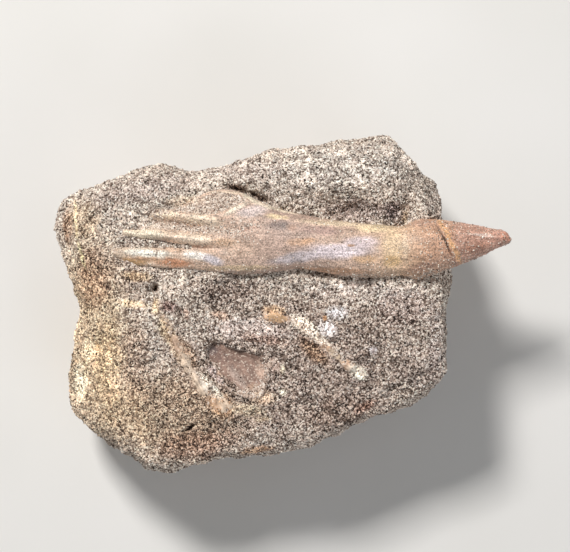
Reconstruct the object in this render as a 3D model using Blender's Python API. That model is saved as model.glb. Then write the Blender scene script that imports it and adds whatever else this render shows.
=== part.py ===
"""A fossil sawfish rostral tooth lying in a loose block of sandstone, with three scraps of bone beside it.

Frame: +X runs along the tooth towards its tip, +Y across the block, +Z up from the flat underside at Z = 0.
The origin is at the middle of the whole object's bounding box, on the underside.
Lengths in this file are millimetres until mesh_object() writes them in metres.
"""

import math

import bmesh
import bpy
import numpy as np
from mathutils import Matrix, Vector, noise

MM = 0.001
WELD_DISTANCE = 1e-6
FLAT_UNDER = 1e-4

# Driving dimensions
FIT_GAP = 0.3
TOP_LEVEL = 24.0
BLOCK_CENTRE = (-4.0, 0.0)
BLOCK_HALF = (30.5, 25.5)
BLOCK_CELLS = (30, 26, 11)
UNDER_EDGE = 2.0
UNDER_SHRINK = 0.07
UNDER_SHARE = 0.6
ROUGH_ABOVE = 3.0
EDGE_TURN = 6

# The block's outline seen from above, clockwise from its left corner
BLOCK_OUTLINE = [
    (-36.6, 12.4), (-35.8, 15.4), (-33.8, 17.4), (-26.6, 19.9), (-19.4, 22.0), (-14.6, 20.7),
    (-9.8, 22.0), (-5.0, 23.7), (-2.4, 24.2), (7.0, 25.5), (11.8, 26.3), (16.6, 27.0),
    (18.5, 25.8), (21.4, 22.2), (24.4, 19.4), (25.4, 16.4), (25.7, 12.6), (27.0, 4.0),
    (26.3, -2.0), (26.2, -9.2), (26.3, -11.1), (23.8, -14.2), (19.0, -17.0), (14.2, -18.5),
    (7.0, -22.0), (-0.2, -24.1), (-7.4, -24.7), (-14.6, -26.3), (-19.4, -27.3), (-22.2, -27.0),
    (-24.6, -25.0), (-29.4, -22.2), (-32.9, -19.6), (-34.5, -16.6), (-34.5, -11.6), (-33.3, -4.4),
    (-33.0, -0.4), (-34.4, 5.2), (-35.9, 9.5),
]

# Rounding of the top edge by direction from the block's centre: degrees anticlockwise from +X, then radius
TOP_EDGE_ANGLES = [-180, -150, -110, -60, -20, 0, 30, 60, 90, 130, 160, 180]
TOP_EDGE_RADII = [5.5, 4.6, 2.6, 2.2, 2.0, 2.2, 3.0, 5.0, 5.5, 4.5, 4.0, 5.5]

# Swells and hollows of the top face: x, y, reach along, reach across, turn in degrees, height
TOP_FORMS = [
    (10.0, 19.3, 12.0, 2.6, 4.0, 1.9),
    (14.0, 14.6, 10.0, 1.7, -3.0, -0.9),
    (-24.0, 17.0, 9.0, 3.0, 18.0, 0.7),
    (24.3, 14.6, 2.0, 2.4, 0.0, 1.5),
    (21.2, 14.4, 1.1, 1.6, 0.0, -0.8),
    (12.0, 1.4, 14.0, 1.6, 0.0, -0.4),
    (-4.0, 2.4, 9.0, 1.6, -4.0, -0.6),
    (14.0, -5.0, 8.0, 4.5, 0.0, 0.6),
    (-23.0, -6.0, 3.5, 9.0, -8.0, 0.8),
    (-13.0, -18.0, 9.0, 3.0, -10.0, 0.6),
    (2.0, -13.0, 5.0, 4.0, 0.0, -0.5),
]
LEFT_SLOPE_FROM = -24.0
LEFT_SLOPE = 0.22
FRONT_SLOPE_FROM = -9.0
FRONT_SLOPE = 0.11

# Roughness of the broken faces: size of the lumps and how far they stand out, before and after the chips.
# It fades out below ROUGH_ABOVE, and the lumps' push turns outwards towards the top edge by EDGE_TURN.
BROAD_LUMPS = (9.0, 0.75)
FINE_LUMPS = (3.6, 0.5)
BROAD_SEED = 0.0
FINE_SEED = 7.0

# Flat chips broken off the block: direction they face as azimuth and elevation in degrees, then bite
CHIPS = [
    (190, 40, 2.6), (232, 22, 0.9), (205, 8, 0.3), (180, -30, 3.4), (150, 35, 1.6),
    (120, -12, 1.4), (100, -28, 2.8), (86, 42, 1.6), (60, 10, 0.9), (40, 30, 2.2),
    (30, -32, 3.4), (2, 18, 1.2), (-6, -14, 1.3), (-30, -28, 2.4), (-52, 14, 0.5),
    (-68, 12, 0.4), (-82, -18, 2.0), (-105, 16, 0.6), (-128, -34, 3.2), (-140, 6, 0.4),
]

# The tooth: position along it, upper edge and lower edge seen from above
TOOTH_OUTLINE = [
    (-26.96, 8.3, 7.9), (-26.3, 8.8, 7.2), (-25.5, 11.4, 6.8), (-24.2, 11.8, 6.2), (-21.8, 12.1, 5.7),
    (-20.7, 14.4, 5.6), (-17.8, 15.0, 5.5), (-15.0, 15.8, 5.4), (-12.2, 17.4, 5.1), (-9.0, 18.0, 4.7),
    (-5.8, 17.2, 4.5), (-3.6, 16.2, 4.6), (-0.9, 15.1, 4.9), (2.8, 14.1, 5.4), (6.2, 13.5, 4.9),
    (10.2, 12.9, 4.2), (15.8, 12.4, 4.0), (19.6, 12.3, 4.2), (21.7, 13.2, 3.7), (23.8, 13.3, 4.3),
    (26.6, 13.0, 5.4), (29.7, 12.5, 6.5), (32.4, 12.0, 7.7), (33.9, 11.7, 8.5), (35.1, 11.5, 9.0),
    (35.8, 11.1, 9.3), (36.2, 10.5, 9.6), (36.45, 10.2, 9.9),
]
# The same: position, height of its widest line, rise above that line, depth below it, sharpness of its sides
TOOTH_HEIGHT = [
    (-27.0, 23.6, 0.5, 0.5, 1.0), (-25.0, 23.7, 1.1, 1.6, 1.0), (-18.0, 24.0, 1.7, 2.2, 1.0),
    (-9.0, 24.2, 2.5, 2.6, 1.0), (-2.0, 24.3, 3.1, 2.8, 0.95), (6.0, 24.3, 3.5, 3.0, 0.9),
    (19.0, 24.3, 3.5, 3.2, 0.9), (22.5, 24.4, 3.8, 3.5, 1.0), (28.0, 24.8, 3.0, 2.9, 1.25),
    (33.0, 25.3, 1.8, 1.8, 1.4), (35.9, 25.6, 1.0, 1.0, 1.2), (36.45, 25.7, 0.5, 0.5, 1.0),
]
TOOTH_RINGS = 46
TOOTH_SIDES = 28
TOOTH_END_CROWDING = 0.2
SOCKET_SIDES = 20
SOCKET_LIFT = 5.0

# The furrows that split the root into fingers: points along each, then half width and depth
FURROWS = [
    ([(-27.0, 9.9), (-21.0, 9.4), (-14.0, 8.8), (-5.0, 8.6)], 1.1, 1.8),
    ([(-27.0, 13.2), (-20.0, 12.7), (-14.0, 12.0), (-6.0, 11.2)], 1.35, 1.6),
]
FURROWS_FADE_FROM = -16.0
FURROWS_FADE_TO = -5.0

# The root's thin upper margin: the fold that bounds it, how wide the step down to it is, and how far it drops
FOLD_LINE = [
    (-27.0, 15.6), (-20.7, 14.8), (-16.0, 14.3), (-11.4, 13.7), (-9.4, 14.1), (-6.6, 15.4), (-5.0, 16.0),
    (-3.0, 16.4), (0.0, 17.4),
]
FOLD_WIDTH = 0.7
FOLD_DROP = 0.9

# The break across the crown: x and y along it
CROWN_BREAK = [(24.0, 13.6), (24.7, 12.1), (25.4, 10.7), (25.9, 9.7), (26.5, 8.3), (27.6, 6.2)]
BREAK_HALF_WIDTH = 0.6
BREAK_DEPTH = 0.3

# The two slender scraps of bone: x, y, radius and how far each stands out of the stone
BONE_RIM = [
    (-20.1, 1.2, 0.35, 0.25), (-19.4, -0.6, 0.55, 0.35), (-18.4, -3.0, 0.60, 0.30),
    (-17.2, -5.6, 0.70, 0.45), (-16.0, -8.0, 0.80, 0.55), (-14.6, -10.6, 0.85, 0.60),
    (-13.1, -12.9, 1.00, 0.55), (-11.7, -14.9, 1.30, 0.45), (-9.8, -16.6, 1.90, 0.40),
    (-7.8, -17.9, 1.30, 0.25),
]
BONE_SLIVER = [
    (-3.0, -1.7, 0.60, 0.20), (-1.6, -2.1, 1.30, 0.50), (0.2, -2.6, 1.30, 0.50),
    (2.1, -3.3, 0.80, 0.30), (4.1, -4.6, 0.70, 0.20), (6.4, -6.8, 0.80, 0.20),
    (9.3, -9.0, 0.70, 0.25), (11.6, -10.6, 0.85, 0.45), (13.2, -11.7, 0.45, 0.20),
]

# The flat scrap of bone: its corners, how thick it is, how far it is sunk in the stone and how it leans
BONE_PLATE = [
    (-12.7, -8.2), (-12.0, -7.1), (-11.0, -6.4), (-10.0, -6.2), (-7.1, -7.4), (-3.8, -8.0), (-0.6, -8.7),
    (-1.5, -10.3), (-2.0, -12.2), (-2.8, -14.5), (-4.4, -15.4), (-6.8, -14.9), (-9.2, -13.5), (-11.2, -11.7),
    (-12.7, -9.6),
]
PLATE_THICKNESS = 1.6
PLATE_SINK = 0.5
PLATE_TILT = 6.0

MATERIALS = {
    "sandstone": ((0.42, 0.34, 0.27), 0.95),
    "fossil_tooth": ((0.56, 0.38, 0.24), 0.45),
    "fossil_bone": ((0.42, 0.27, 0.18), 0.65),
}


def clear_scene():
    for obj in list(bpy.data.objects):
        bpy.data.objects.remove(obj, do_unlink=True)


def new_collection(name):
    made = bpy.data.collections.new(name)
    bpy.context.scene.collection.children.link(made)
    return made


def material(name):
    """A Principled material in the slot's colour and roughness."""
    colour, roughness = MATERIALS[name]
    made = bpy.data.materials.get(name) or bpy.data.materials.new(name)
    made.use_nodes = True
    shader = made.node_tree.nodes["Principled BSDF"]
    shader.inputs["Base Color"].default_value = (*colour, 1.0)
    shader.inputs["Roughness"].default_value = roughness
    made.diffuse_color = (*colour, 1.0)
    return made


def smooth_line(at, xs, ys):
    """A smooth curve through the points (xs, ys), read at the positions given."""
    xs = np.asarray(xs, float)
    ys = np.asarray(ys, float)
    slopes = np.gradient(ys, xs)
    at = np.clip(at, xs[0], xs[-1])
    i = np.clip(np.searchsorted(xs, at) - 1, 0, len(xs) - 2)
    width = xs[i + 1] - xs[i]
    t = (at - xs[i]) / width
    return (
        (2 * t**3 - 3 * t**2 + 1) * ys[i]
        + (t**3 - 2 * t**2 + t) * width * slopes[i]
        + (3 * t**2 - 2 * t**3) * ys[i + 1]
        + (t**3 - t**2) * width * slopes[i + 1]
    )


def smooth_loop(points, per_side=8):
    """Points along a closed smooth curve through the ones given."""
    p = np.asarray(points, float)
    before, after, beyond = np.roll(p, 1, 0), np.roll(p, -1, 0), np.roll(p, -2, 0)
    found = []
    for t in np.arange(per_side) / per_side:
        found.append(
            0.5 * (2 * p + (after - before) * t + (2 * before - 5 * p + 4 * after - beyond) * t**2
                   + (3 * p - before - 3 * after + beyond) * t**3)
        )
    return np.stack(found, axis=1).reshape(-1, 2)


def lumpiness(points, size, seed):
    """Smooth noise from -1 to 1 at each point, with lumps of about the size given."""
    return np.array([noise.noise(Vector(p) / size + Vector((seed, 0, 0))) for p in points])


def outline_reach(angle):
    """How far the block's outline is from its centre in each direction."""
    loop = smooth_loop(BLOCK_OUTLINE) - BLOCK_CENTRE
    return np.interp(angle, np.arctan2(loop[:, 1], loop[:, 0]), np.hypot(*loop.T), period=2 * math.pi)


def top_height(x, y):
    """Height of the block's top face, before its edges are rounded."""
    z = np.full(np.shape(x), TOP_LEVEL)
    for cx, cy, along, across, turn, height in TOP_FORMS:
        c, s = math.cos(math.radians(turn)), math.sin(math.radians(turn))
        u = ((x - cx) * c + (y - cy) * s) / along
        v = ((y - cy) * c - (x - cx) * s) / across
        z = z + height * np.exp(-(u**2) - v**2)
    z = z - LEFT_SLOPE * np.maximum(LEFT_SLOPE_FROM - x, 0)
    return z - FRONT_SLOPE * np.maximum(FRONT_SLOPE_FROM - y, 0)


def roughened(points, away, size, height, seed):
    """Pushes points out and in by lumps, but leaves the underside flat."""
    push = lumpiness(points, size, seed) * height * np.clip(points[:, 2] / ROUGH_ABOVE, 0, 1)
    return points + away * push[:, None]


def face_height(x, y):
    """Height of the block's top face with its lumps, away from the edges."""
    z = top_height(x, y)
    for (size, height), seed in ((BROAD_LUMPS, BROAD_SEED), (FINE_LUMPS, FINE_SEED)):
        points = np.stack([x, y, z], axis=-1).reshape(-1, 3)
        z = z + height * lumpiness(points, size, seed).reshape(np.shape(z))
    return z


def chipped(points):
    """Flattens what stands past each chip's plane."""
    for azimuth, elevation, bite in CHIPS:
        a, e = math.radians(azimuth), math.radians(elevation)
        facing = np.array([math.cos(a) * math.cos(e), math.sin(a) * math.cos(e), math.sin(e)])
        reach = points @ facing
        points = points - np.maximum(reach - (reach.max() - bite), 0)[:, None] * facing
    return np.maximum(points, [-np.inf, -np.inf, 0.0])


def block_surface(cube):
    """Carries points on the surface of a cube from -1 to 1 to the block's surface."""
    u, v, w = cube.T
    angle = np.arctan2(v * BLOCK_HALF[1], u * BLOCK_HALF[0])
    ring = np.maximum(abs(u), abs(v))
    reach = outline_reach(angle)
    radius = ring * reach
    x = BLOCK_CENTRE[0] + radius * np.cos(angle)
    y = BLOCK_CENTRE[1] + radius * np.sin(angle)
    top = top_height(x, y)
    z = (w + 1) / 2 * top

    top_edge = np.interp(np.degrees(angle), TOP_EDGE_ANGLES, TOP_EDGE_RADII)
    for edge, wall in ((top_edge, top - z), (UNDER_EDGE, z)):
        past_r = np.maximum(radius - (reach - edge), 0)
        past_z = np.maximum(edge - wall, 0)
        share = np.where((past_r > 0) & (past_z > 0), edge / np.maximum(np.hypot(past_r, past_z), 1e-9), 1.0)
        radius = radius + past_r * (share - 1)
        z = z + np.where(wall is z, -1, 1) * past_z * (share - 1)

    low = np.clip(1 - z / (UNDER_SHARE * top), 0, 1)
    radius = radius * (1 - UNDER_SHRINK * low**2)
    x = BLOCK_CENTRE[0] + radius * np.cos(angle)
    y = BLOCK_CENTRE[1] + radius * np.sin(angle)
    points = np.stack([x, y, z], axis=1)

    outwards = ring**EDGE_TURN
    away = np.stack([np.cos(angle) * outwards, np.sin(angle) * outwards, np.isclose(w, 1.0)], axis=1)
    away = away / np.maximum(np.linalg.norm(away, axis=1), 1e-9)[:, None]
    points = roughened(points, away, *BROAD_LUMPS, BROAD_SEED)
    points = chipped(points)
    return roughened(points, away, *FINE_LUMPS, FINE_SEED)


def mesh_object(name, mesh, slot, collection):
    """An object in metres from a mesh in millimetres."""
    mesh.transform(Matrix.Scale(MM, 4))
    mesh.materials.append(material(slot))
    made = bpy.data.objects.new(name, mesh)
    collection.objects.link(made)
    return made


def make_block(collection):
    bm = bmesh.new()
    bmesh.ops.create_cube(bm, size=2)
    for axis, cells in enumerate(BLOCK_CELLS):
        along = [e for e in bm.edges if abs((e.verts[0].co - e.verts[1].co)[axis]) > WELD_DISTANCE]
        bmesh.ops.subdivide_edges(bm, edges=along, cuts=cells - 1, use_grid_fill=True)
    places = block_surface(np.array([v.co for v in bm.verts]))
    for vert, place in zip(bm.verts, places):
        vert.co = place
    underside = [f for f in bm.faces if all(v.co.z < FLAT_UNDER for v in f.verts)]
    bmesh.ops.dissolve_faces(bm, faces=underside)
    bmesh.ops.triangulate(bm, faces=bm.faces)
    bmesh.ops.recalc_face_normals(bm, faces=bm.faces)
    mesh = bpy.data.meshes.new("stone_block")
    bm.to_mesh(mesh)
    bm.free()
    return mesh_object("stone_block", mesh, "sandstone", collection)


def smooth_step(low, high, value):
    """0 below low, 1 above high and smooth between them."""
    t = np.clip((value - low) / (high - low), 0, 1)
    return t * t * (3 - 2 * t)


def root_depth(x, y):
    """How much the root's furrows, and the step down to its thin upper margin, lower it at each point."""
    fade = 1 - smooth_step(FURROWS_FADE_FROM, FURROWS_FADE_TO, x)
    fold = smooth_line(x, *np.transpose(FOLD_LINE))
    depth = FOLD_DROP * smooth_step(0, FOLD_WIDTH, y - fold)
    for line, half_width, deep in FURROWS:
        middle = smooth_line(x, *np.transpose(line))
        depth = depth + deep * fade * np.exp(-(((y - middle) / half_width) ** 2))
    return depth


def break_depth(x, y):
    """How deep the break across the crown is at each point."""
    line = np.array(CROWN_BREAK)[::-1]
    off = x - smooth_line(y, line[:, 1], line[:, 0])
    return BREAK_DEPTH * np.exp(-((off / BREAK_HALF_WIDTH) ** 2))


def tooth_points(rings, sides, grow=0.0, lift=0.0):
    """The tooth's surface as rings of points from root to tip.

    grow swells it all over, and lift raises its upper side and leaves that uncarved, as a socket needs.
    """
    outline = np.array(TOOTH_OUTLINE)
    height = np.array(TOOTH_HEIGHT)
    share = np.linspace(0, 1, rings)
    crowded = 0.5 - 0.5 * np.cos(math.pi * share)
    along = share + TOOTH_END_CROWDING * (crowded - share)
    x = outline[0, 0] + along * (outline[-1, 0] - outline[0, 0])
    upper, lower = (smooth_line(x, outline[:, 0], outline[:, k]) for k in (1, 2))
    level, rise, depth, sharpness = (smooth_line(x, height[:, 0], height[:, k]) for k in (1, 2, 3, 4))
    x = x + grow * (2 * share - 1)
    turn = np.arange(sides) / sides * 2 * math.pi
    c, s = np.cos(turn)[None, :], np.sin(turn)[None, :]
    half = (upper - lower)[:, None] / 2 + grow
    y = (upper + lower)[:, None] / 2 + half * c
    bulge = np.abs(s) ** sharpness[:, None]
    xx = np.broadcast_to(x[:, None], y.shape)
    carved = 0 if lift else root_depth(xx, y) + break_depth(xx, y)
    over = rise[:, None] + grow + lift - carved
    under = -(depth[:, None] + grow)
    z = level[:, None] + np.where(s > 0, over, under) * bulge
    return np.stack([xx, y, z], axis=2)


def loft(name, rings):
    """A closed mesh through rings of points, with flat ends."""
    bm = bmesh.new()
    made = [[bm.verts.new(p) for p in ring] for ring in rings]
    for one, other in zip(made, made[1:]):
        for i in range(len(one)):
            j = (i + 1) % len(one)
            bm.faces.new((one[i], one[j], other[j], other[i]))
    bm.faces.new(made[0])
    bm.faces.new(made[-1])
    bmesh.ops.triangulate(bm, faces=bm.faces)
    bmesh.ops.recalc_face_normals(bm, faces=bm.faces)
    mesh = bpy.data.meshes.new(name)
    bm.to_mesh(mesh)
    bm.free()
    return mesh


def make_tooth(collection):
    mesh = loft("rostral_tooth", tooth_points(TOOTH_RINGS, TOOTH_SIDES))
    made = mesh_object("rostral_tooth", mesh, "fossil_tooth", collection)
    made.data.shade_smooth()
    return made


def from_curve(name, curve, place, collection):
    """A closed mesh object made from a curve that stands at the matrix given."""
    guide = bpy.data.objects.new(name + "_guide", curve)
    collection.objects.link(guide)
    guide.matrix_world = place
    bpy.context.view_layer.update()
    graph = bpy.context.evaluated_depsgraph_get()
    mesh = bpy.data.meshes.new_from_object(guide.evaluated_get(graph))
    bm = bmesh.new()
    bm.from_mesh(mesh)
    bmesh.ops.remove_doubles(bm, verts=bm.verts, dist=WELD_DISTANCE)
    bmesh.ops.recalc_face_normals(bm, faces=bm.faces)
    bm.to_mesh(mesh)
    bm.free()
    mesh.materials.clear()
    mesh.materials.append(material("fossil_bone"))
    made = bpy.data.objects.new(name, mesh)
    made.matrix_world = guide.matrix_world
    collection.objects.link(made)
    bpy.data.objects.remove(guide)
    return made


def scrap_line(points):
    """The centreline of a slender scrap, sunk in the block's top face, in metres, and its radii."""
    x, y, radius, rise = np.transpose(points)
    return np.stack([x, y, face_height(x, y) + rise - radius], axis=1) * MM, radius


def make_scrap(name, points, collection, grow=0.0):
    """A slender scrap of bone: a tube of changing radius."""
    line, radii = scrap_line(points)
    curve = bpy.data.curves.new(name, "CURVE")
    curve.dimensions = "3D"
    curve.bevel_depth = MM
    curve.bevel_resolution = 2
    curve.resolution_u = 3
    curve.use_fill_caps = True
    spline = curve.splines.new("NURBS")
    spline.points.add(len(line) - 1)
    spline.order_u = 3
    spline.use_endpoint_u = True
    for point, place, radius in zip(spline.points, line, radii):
        point.co = (*place, 1.0)
        point.radius = radius + grow
    made = from_curve(name, curve, Matrix.Identity(4), collection)
    made.data.shade_smooth()
    return made


def make_plate(name, collection, grow=0.0, lift=0.0):
    """The flat scrap of bone: its filled outline with a thickness, laid in the block with a slight tilt.

    grow swells it all over, and lift raises its upper side, as a socket needs.
    """
    corners = np.array(BONE_PLATE)
    middle = corners.mean(axis=0)
    spread = np.linalg.norm(corners - middle, axis=1).min()
    curve = bpy.data.curves.new(name, "CURVE")
    curve.dimensions = "2D"
    curve.fill_mode = "BOTH"
    curve.extrude = (PLATE_THICKNESS / 2 + grow + lift / 2) * MM
    spline = curve.splines.new("POLY")
    spline.points.add(len(corners) - 1)
    spline.use_cyclic_u = True
    for point, (x, y) in zip(spline.points, (corners - middle) * (1 + grow / spread) * MM):
        point.co = (x, y, 0.0, 1.0)
    level = float(face_height(*middle)) - PLATE_SINK
    tilt = Matrix.Rotation(-math.radians(PLATE_TILT), 4, "X")
    place = Matrix.Translation(Vector((*middle, level)) * MM) @ tilt
    centre = Matrix.Translation(Vector((0, 0, (lift - PLATE_THICKNESS) / 2)) * MM)
    return from_curve(name, curve, place @ centre, collection)


def cut(target, cutter):
    cutter.hide_render = True
    cutter.display_type = "WIRE"
    modifier = target.modifiers.new("cut_" + cutter.name, "BOOLEAN")
    modifier.operation = "DIFFERENCE"
    modifier.solver = "EXACT"
    modifier.object = cutter


def main():
    clear_scene()
    parts = new_collection("fossil_rostral_tooth")
    cutters = new_collection("cutters")
    block = make_block(parts)
    make_tooth(parts)
    make_scrap("bone_rim", BONE_RIM, parts)
    make_scrap("bone_sliver", BONE_SLIVER, parts)
    make_plate("bone_plate", parts)

    socket = loft("tooth_socket", tooth_points(TOOTH_RINGS, SOCKET_SIDES, grow=FIT_GAP, lift=SOCKET_LIFT))
    cut(block, mesh_object("tooth_socket", socket, "sandstone", cutters))
    cut(block, make_scrap("rim_socket", BONE_RIM, cutters, grow=FIT_GAP))
    cut(block, make_scrap("sliver_socket", BONE_SLIVER, cutters, grow=FIT_GAP))
    cut(block, make_plate("plate_socket", cutters, grow=FIT_GAP, lift=SOCKET_LIFT))


main()
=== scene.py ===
"""Looks of a fossil sawfish rostral tooth in its loose block of sandstone, with three scraps of bone.

The block, the tooth and the scraps are made again by the part's own formulas, finely enough for pits,
striations and sand. The frame is the part's: +X along the tooth to its tip, +Y across the block, +Z up from
the underside. Lengths are millimetres until new_piece() writes them in metres.
"""

import math

import bmesh
import bpy
import numpy as np
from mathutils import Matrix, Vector, bvhtree, noise


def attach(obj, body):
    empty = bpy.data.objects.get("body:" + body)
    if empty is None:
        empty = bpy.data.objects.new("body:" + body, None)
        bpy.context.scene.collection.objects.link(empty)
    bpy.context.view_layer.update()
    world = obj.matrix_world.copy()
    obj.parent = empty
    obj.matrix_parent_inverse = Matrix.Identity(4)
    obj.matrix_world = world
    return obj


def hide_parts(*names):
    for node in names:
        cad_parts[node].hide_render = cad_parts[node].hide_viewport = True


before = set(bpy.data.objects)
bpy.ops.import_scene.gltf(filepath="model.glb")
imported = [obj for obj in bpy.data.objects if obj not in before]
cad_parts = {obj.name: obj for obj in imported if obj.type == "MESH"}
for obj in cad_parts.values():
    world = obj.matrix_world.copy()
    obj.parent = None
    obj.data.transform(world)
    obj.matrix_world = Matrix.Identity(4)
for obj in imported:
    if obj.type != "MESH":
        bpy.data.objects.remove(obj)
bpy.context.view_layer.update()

MM = 0.001
TINY = 1e-9

# The view: the photograph's width and middle at the tooth's level, how far off the camera is, and the floor
PHOTO_WIDTH = 91.2
PHOTO_MIDDLE = (0.56, 4.24)
PHOTO_LEVEL = 22.0
CAMERA_DISTANCE = 420.0
SENSOR_WIDTH = 36.0
FLOOR_HALF = 1500.0

# The block, as in the part
TOP_LEVEL = 24.0
BLOCK_CENTRE = (-4.0, 0.0)
BLOCK_HALF = (30.5, 25.5)
UNDER_EDGE = 2.0
UNDER_SHRINK = 0.07
UNDER_SHARE = 0.6
ROUGH_ABOVE = 3.0
EDGE_TURN = 6
BLOCK_OUTLINE = [
    (-36.6, 12.4), (-35.8, 15.4), (-33.8, 17.4), (-26.6, 19.9), (-19.4, 22), (-14.6, 20.7),
    (-9.8, 22), (-5, 23.7), (-2.4, 24.2), (7, 25.5), (11.8, 26.3), (16.6, 27),
    (18.5, 25.8), (21.4, 22.2), (24.4, 19.4), (25.4, 16.4), (25.7, 12.6), (27, 4),
    (26.3, -2), (26.2, -9.2), (26.3, -11.1), (23.8, -14.2), (19, -17), (14.2, -18.5),
    (7, -22), (-0.2, -24.1), (-7.4, -24.7), (-14.6, -26.3), (-19.4, -27.3), (-22.2, -27),
    (-24.6, -25), (-29.4, -22.2), (-32.9, -19.6), (-34.5, -16.6), (-34.5, -11.6), (-33.3, -4.4),
    (-33, -0.4), (-34.4, 5.2), (-35.9, 9.5),
]
TOP_EDGE_ANGLES = [-180, -150, -110, -60, -20, 0, 30, 60, 90, 130, 160, 180]
TOP_EDGE_RADII = [5.5, 4.6, 2.6, 2.2, 2.0, 2.2, 3.0, 5.0, 5.5, 4.5, 4.0, 5.5]
TOP_FORMS = [
    (10, 19.3, 12, 2.6, 4, 1.9),
    (14, 14.6, 10, 1.7, -3, -0.9),
    (-24, 17, 9, 3, 18, 0.7),
    (24.3, 14.6, 2, 2.4, 0, 1.5),
    (21.2, 14.4, 1.1, 1.6, 0, -0.8),
    (12, 1.4, 14, 1.6, 0, -0.4),
    (-4, 2.4, 9, 1.6, -4, -0.6),
    (14, -5, 8, 4.5, 0, 0.6),
    (-23, -6, 3.5, 9, -8, 0.8),
    (-13, -18, 9, 3, -10, 0.6),
    (2, -13, 5, 4, 0, -0.5),
]
LEFT_SLOPE_FROM = -24.0
LEFT_SLOPE = 0.22
FRONT_SLOPE_FROM = -9.0
FRONT_SLOPE = 0.11
BROAD_LUMPS = (9.0, 0.75)
FINE_LUMPS = (3.6, 0.5)
BROAD_SEED = 0.0
FINE_SEED = 7.0
CHIPS = [
    (190, 40, 2.6), (232, 22, 0.9), (205, 8, 0.3), (180, -30, 3.4), (150, 35, 1.6),
    (120, -12, 1.4), (100, -28, 2.8), (86, 42, 1.6), (60, 10, 0.9), (40, 30, 2.2),
    (30, -32, 3.4), (2, 18, 1.2), (-6, -14, 1.3), (-30, -28, 2.4), (-52, 14, 0.5),
    (-68, 12, 0.4), (-82, -18, 2), (-105, 16, 0.6), (-128, -34, 3.2), (-140, 6, 0.4),
]
FLAT_UNDER = 1e-4

# Small swells and hollows of the top face: x, y, reach along, reach across, turn in degrees, height
SMALL_FORMS = [
    (-20.1, 2.3, 0.45, 0.75, 0, -1.9),
    (-14.6, -19.9, 0.9, 0.4, 30, -1.2),
    (-27.6, 2.5, 0.7, 0.6, 0, -0.6),
    (-31.3, 4.7, 0.3, 0.9, 20, -0.7),
    (-34.5, 12.2, 1.2, 3.6, 4, -1.1),
    (-32.9, 13.4, 0.5, 4.2, 6, 0.6),
    (-7.2, 18.1, 2.6, 0.45, -14, -1.5),
    (-3.7, 16.8, 2.2, 0.55, -28, -1.7),
    (-4.6, 19.6, 5, 0.9, -14, 0.6),
    (-31.4, -9.5, 0.9, 5.5, -6, 0.5),
    (-28, -9.5, 2.4, 6.5, 0, -0.5),
    (19.9, 13.9, 0.9, 2.2, -14, -0.9),
    (22.6, 15, 1.6, 2.2, -8, 0.7),
    (-17, 0.2, 1, 0.7, 0, 0.45),
    (-16.4, -1.6, 0.3, 1.2, 20, -0.8),
    (23.1, 15.4, 0.5, 2.2, -12, -0.7),
    (3.9, 18.2, 0.45, 0.75, 15, 0.45),
    (-17.6, -0.9, 0.5, 0.9, 0, -0.5),
    (-24, -5.4, 0.6, 1.5, 10, -0.5),
    (4.8, 1.6, 0.8, 0.4, 0, 0.3),
    (19.6, 11.9, 2.2, 0.5, 0, -0.5),
    (-9.2, -1.7, 2, 0.9, -10, -0.25),
]
# Small ledges, higher on the side that the turn points away from: x, y, turn in degrees, half length, fall
LEDGES = [
    (-24.6, -10, 182, 6.5, 0.6),
    (-12.8, 17, 118, 3, 0.12),
    (-33, -17, 25, 4, 0.5),
    (19.5, -12.5, -58, 6, 0.5),
]
LEDGE_REACH = 2.6
LEDGE_EDGE = 0.3

# The tooth, as in the part
TOOTH_OUTLINE = [
    (-26.96, 8.3, 7.9), (-26.3, 8.8, 7.2), (-25.5, 11.4, 6.8), (-24.2, 11.8, 6.2), (-21.8, 12.1, 5.7),
    (-20.7, 14.4, 5.6), (-17.8, 15, 5.5), (-15, 15.8, 5.4), (-12.2, 17.4, 5.1), (-9, 18, 4.7),
    (-5.8, 17.2, 4.5), (-3.6, 16.2, 4.6), (-0.9, 15.1, 4.9), (2.8, 14.1, 5.4), (6.2, 13.5, 4.9),
    (10.2, 12.9, 4.2), (15.8, 12.4, 4), (19.6, 12.3, 4.2), (21.7, 13.2, 3.7), (23.8, 13.3, 4.3),
    (26.6, 13, 5.4), (29.7, 12.5, 6.5), (32.4, 12, 7.7), (33.9, 11.7, 8.5), (35.1, 11.5, 9),
    (35.8, 11.1, 9.3), (36.2, 10.5, 9.6), (36.45, 10.2, 9.9),
]
TOOTH_HEIGHT = [
    (-27, 23.6, 0.5, 0.5, 1), (-25, 23.7, 1.1, 1.6, 1), (-18, 24, 1.7, 2.2, 1),
    (-9, 24.2, 2.5, 2.6, 1), (-2, 24.3, 3.1, 2.8, 0.95), (6, 24.3, 3.5, 3, 0.9),
    (19, 24.3, 3.5, 3.2, 0.9), (22.5, 24.4, 3.8, 3.5, 1), (28, 24.8, 3, 2.9, 1.25),
    (33, 25.3, 1.8, 1.8, 1.4), (35.9, 25.6, 1, 1, 1.2), (36.45, 25.7, 0.5, 0.5, 1),
]
TOOTH_END_CROWDING = 0.2
FURROWS = [
    ([(-27, 9.9), (-21, 9.4), (-14, 8.8), (-5, 8.6)], 1.1, 1.8),
    ([(-27, 13.2), (-20, 12.7), (-14, 12), (-6, 11.2)], 1.35, 1.6),
]
FURROWS_FADE_FROM = -16.0
FURROWS_FADE_TO = -5.0
FOLD_LINE = [
    (-27, 15.6), (-20.7, 14.8), (-16, 14.3), (-11.4, 13.7), (-9.4, 14.1), (-6.6, 15.4), (-5, 16),
    (-3, 16.4), (0, 17.4),
]
FOLD_WIDTH = 0.7
FOLD_DROP = 0.9
CROWN_BREAK = [(24.0, 13.6), (24.7, 12.1), (25.4, 10.7), (25.9, 9.7), (26.5, 8.3), (27.6, 6.2)]
BREAK_HALF_WIDTH = 0.16
BREAK_DEPTH = 0.5

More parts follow.
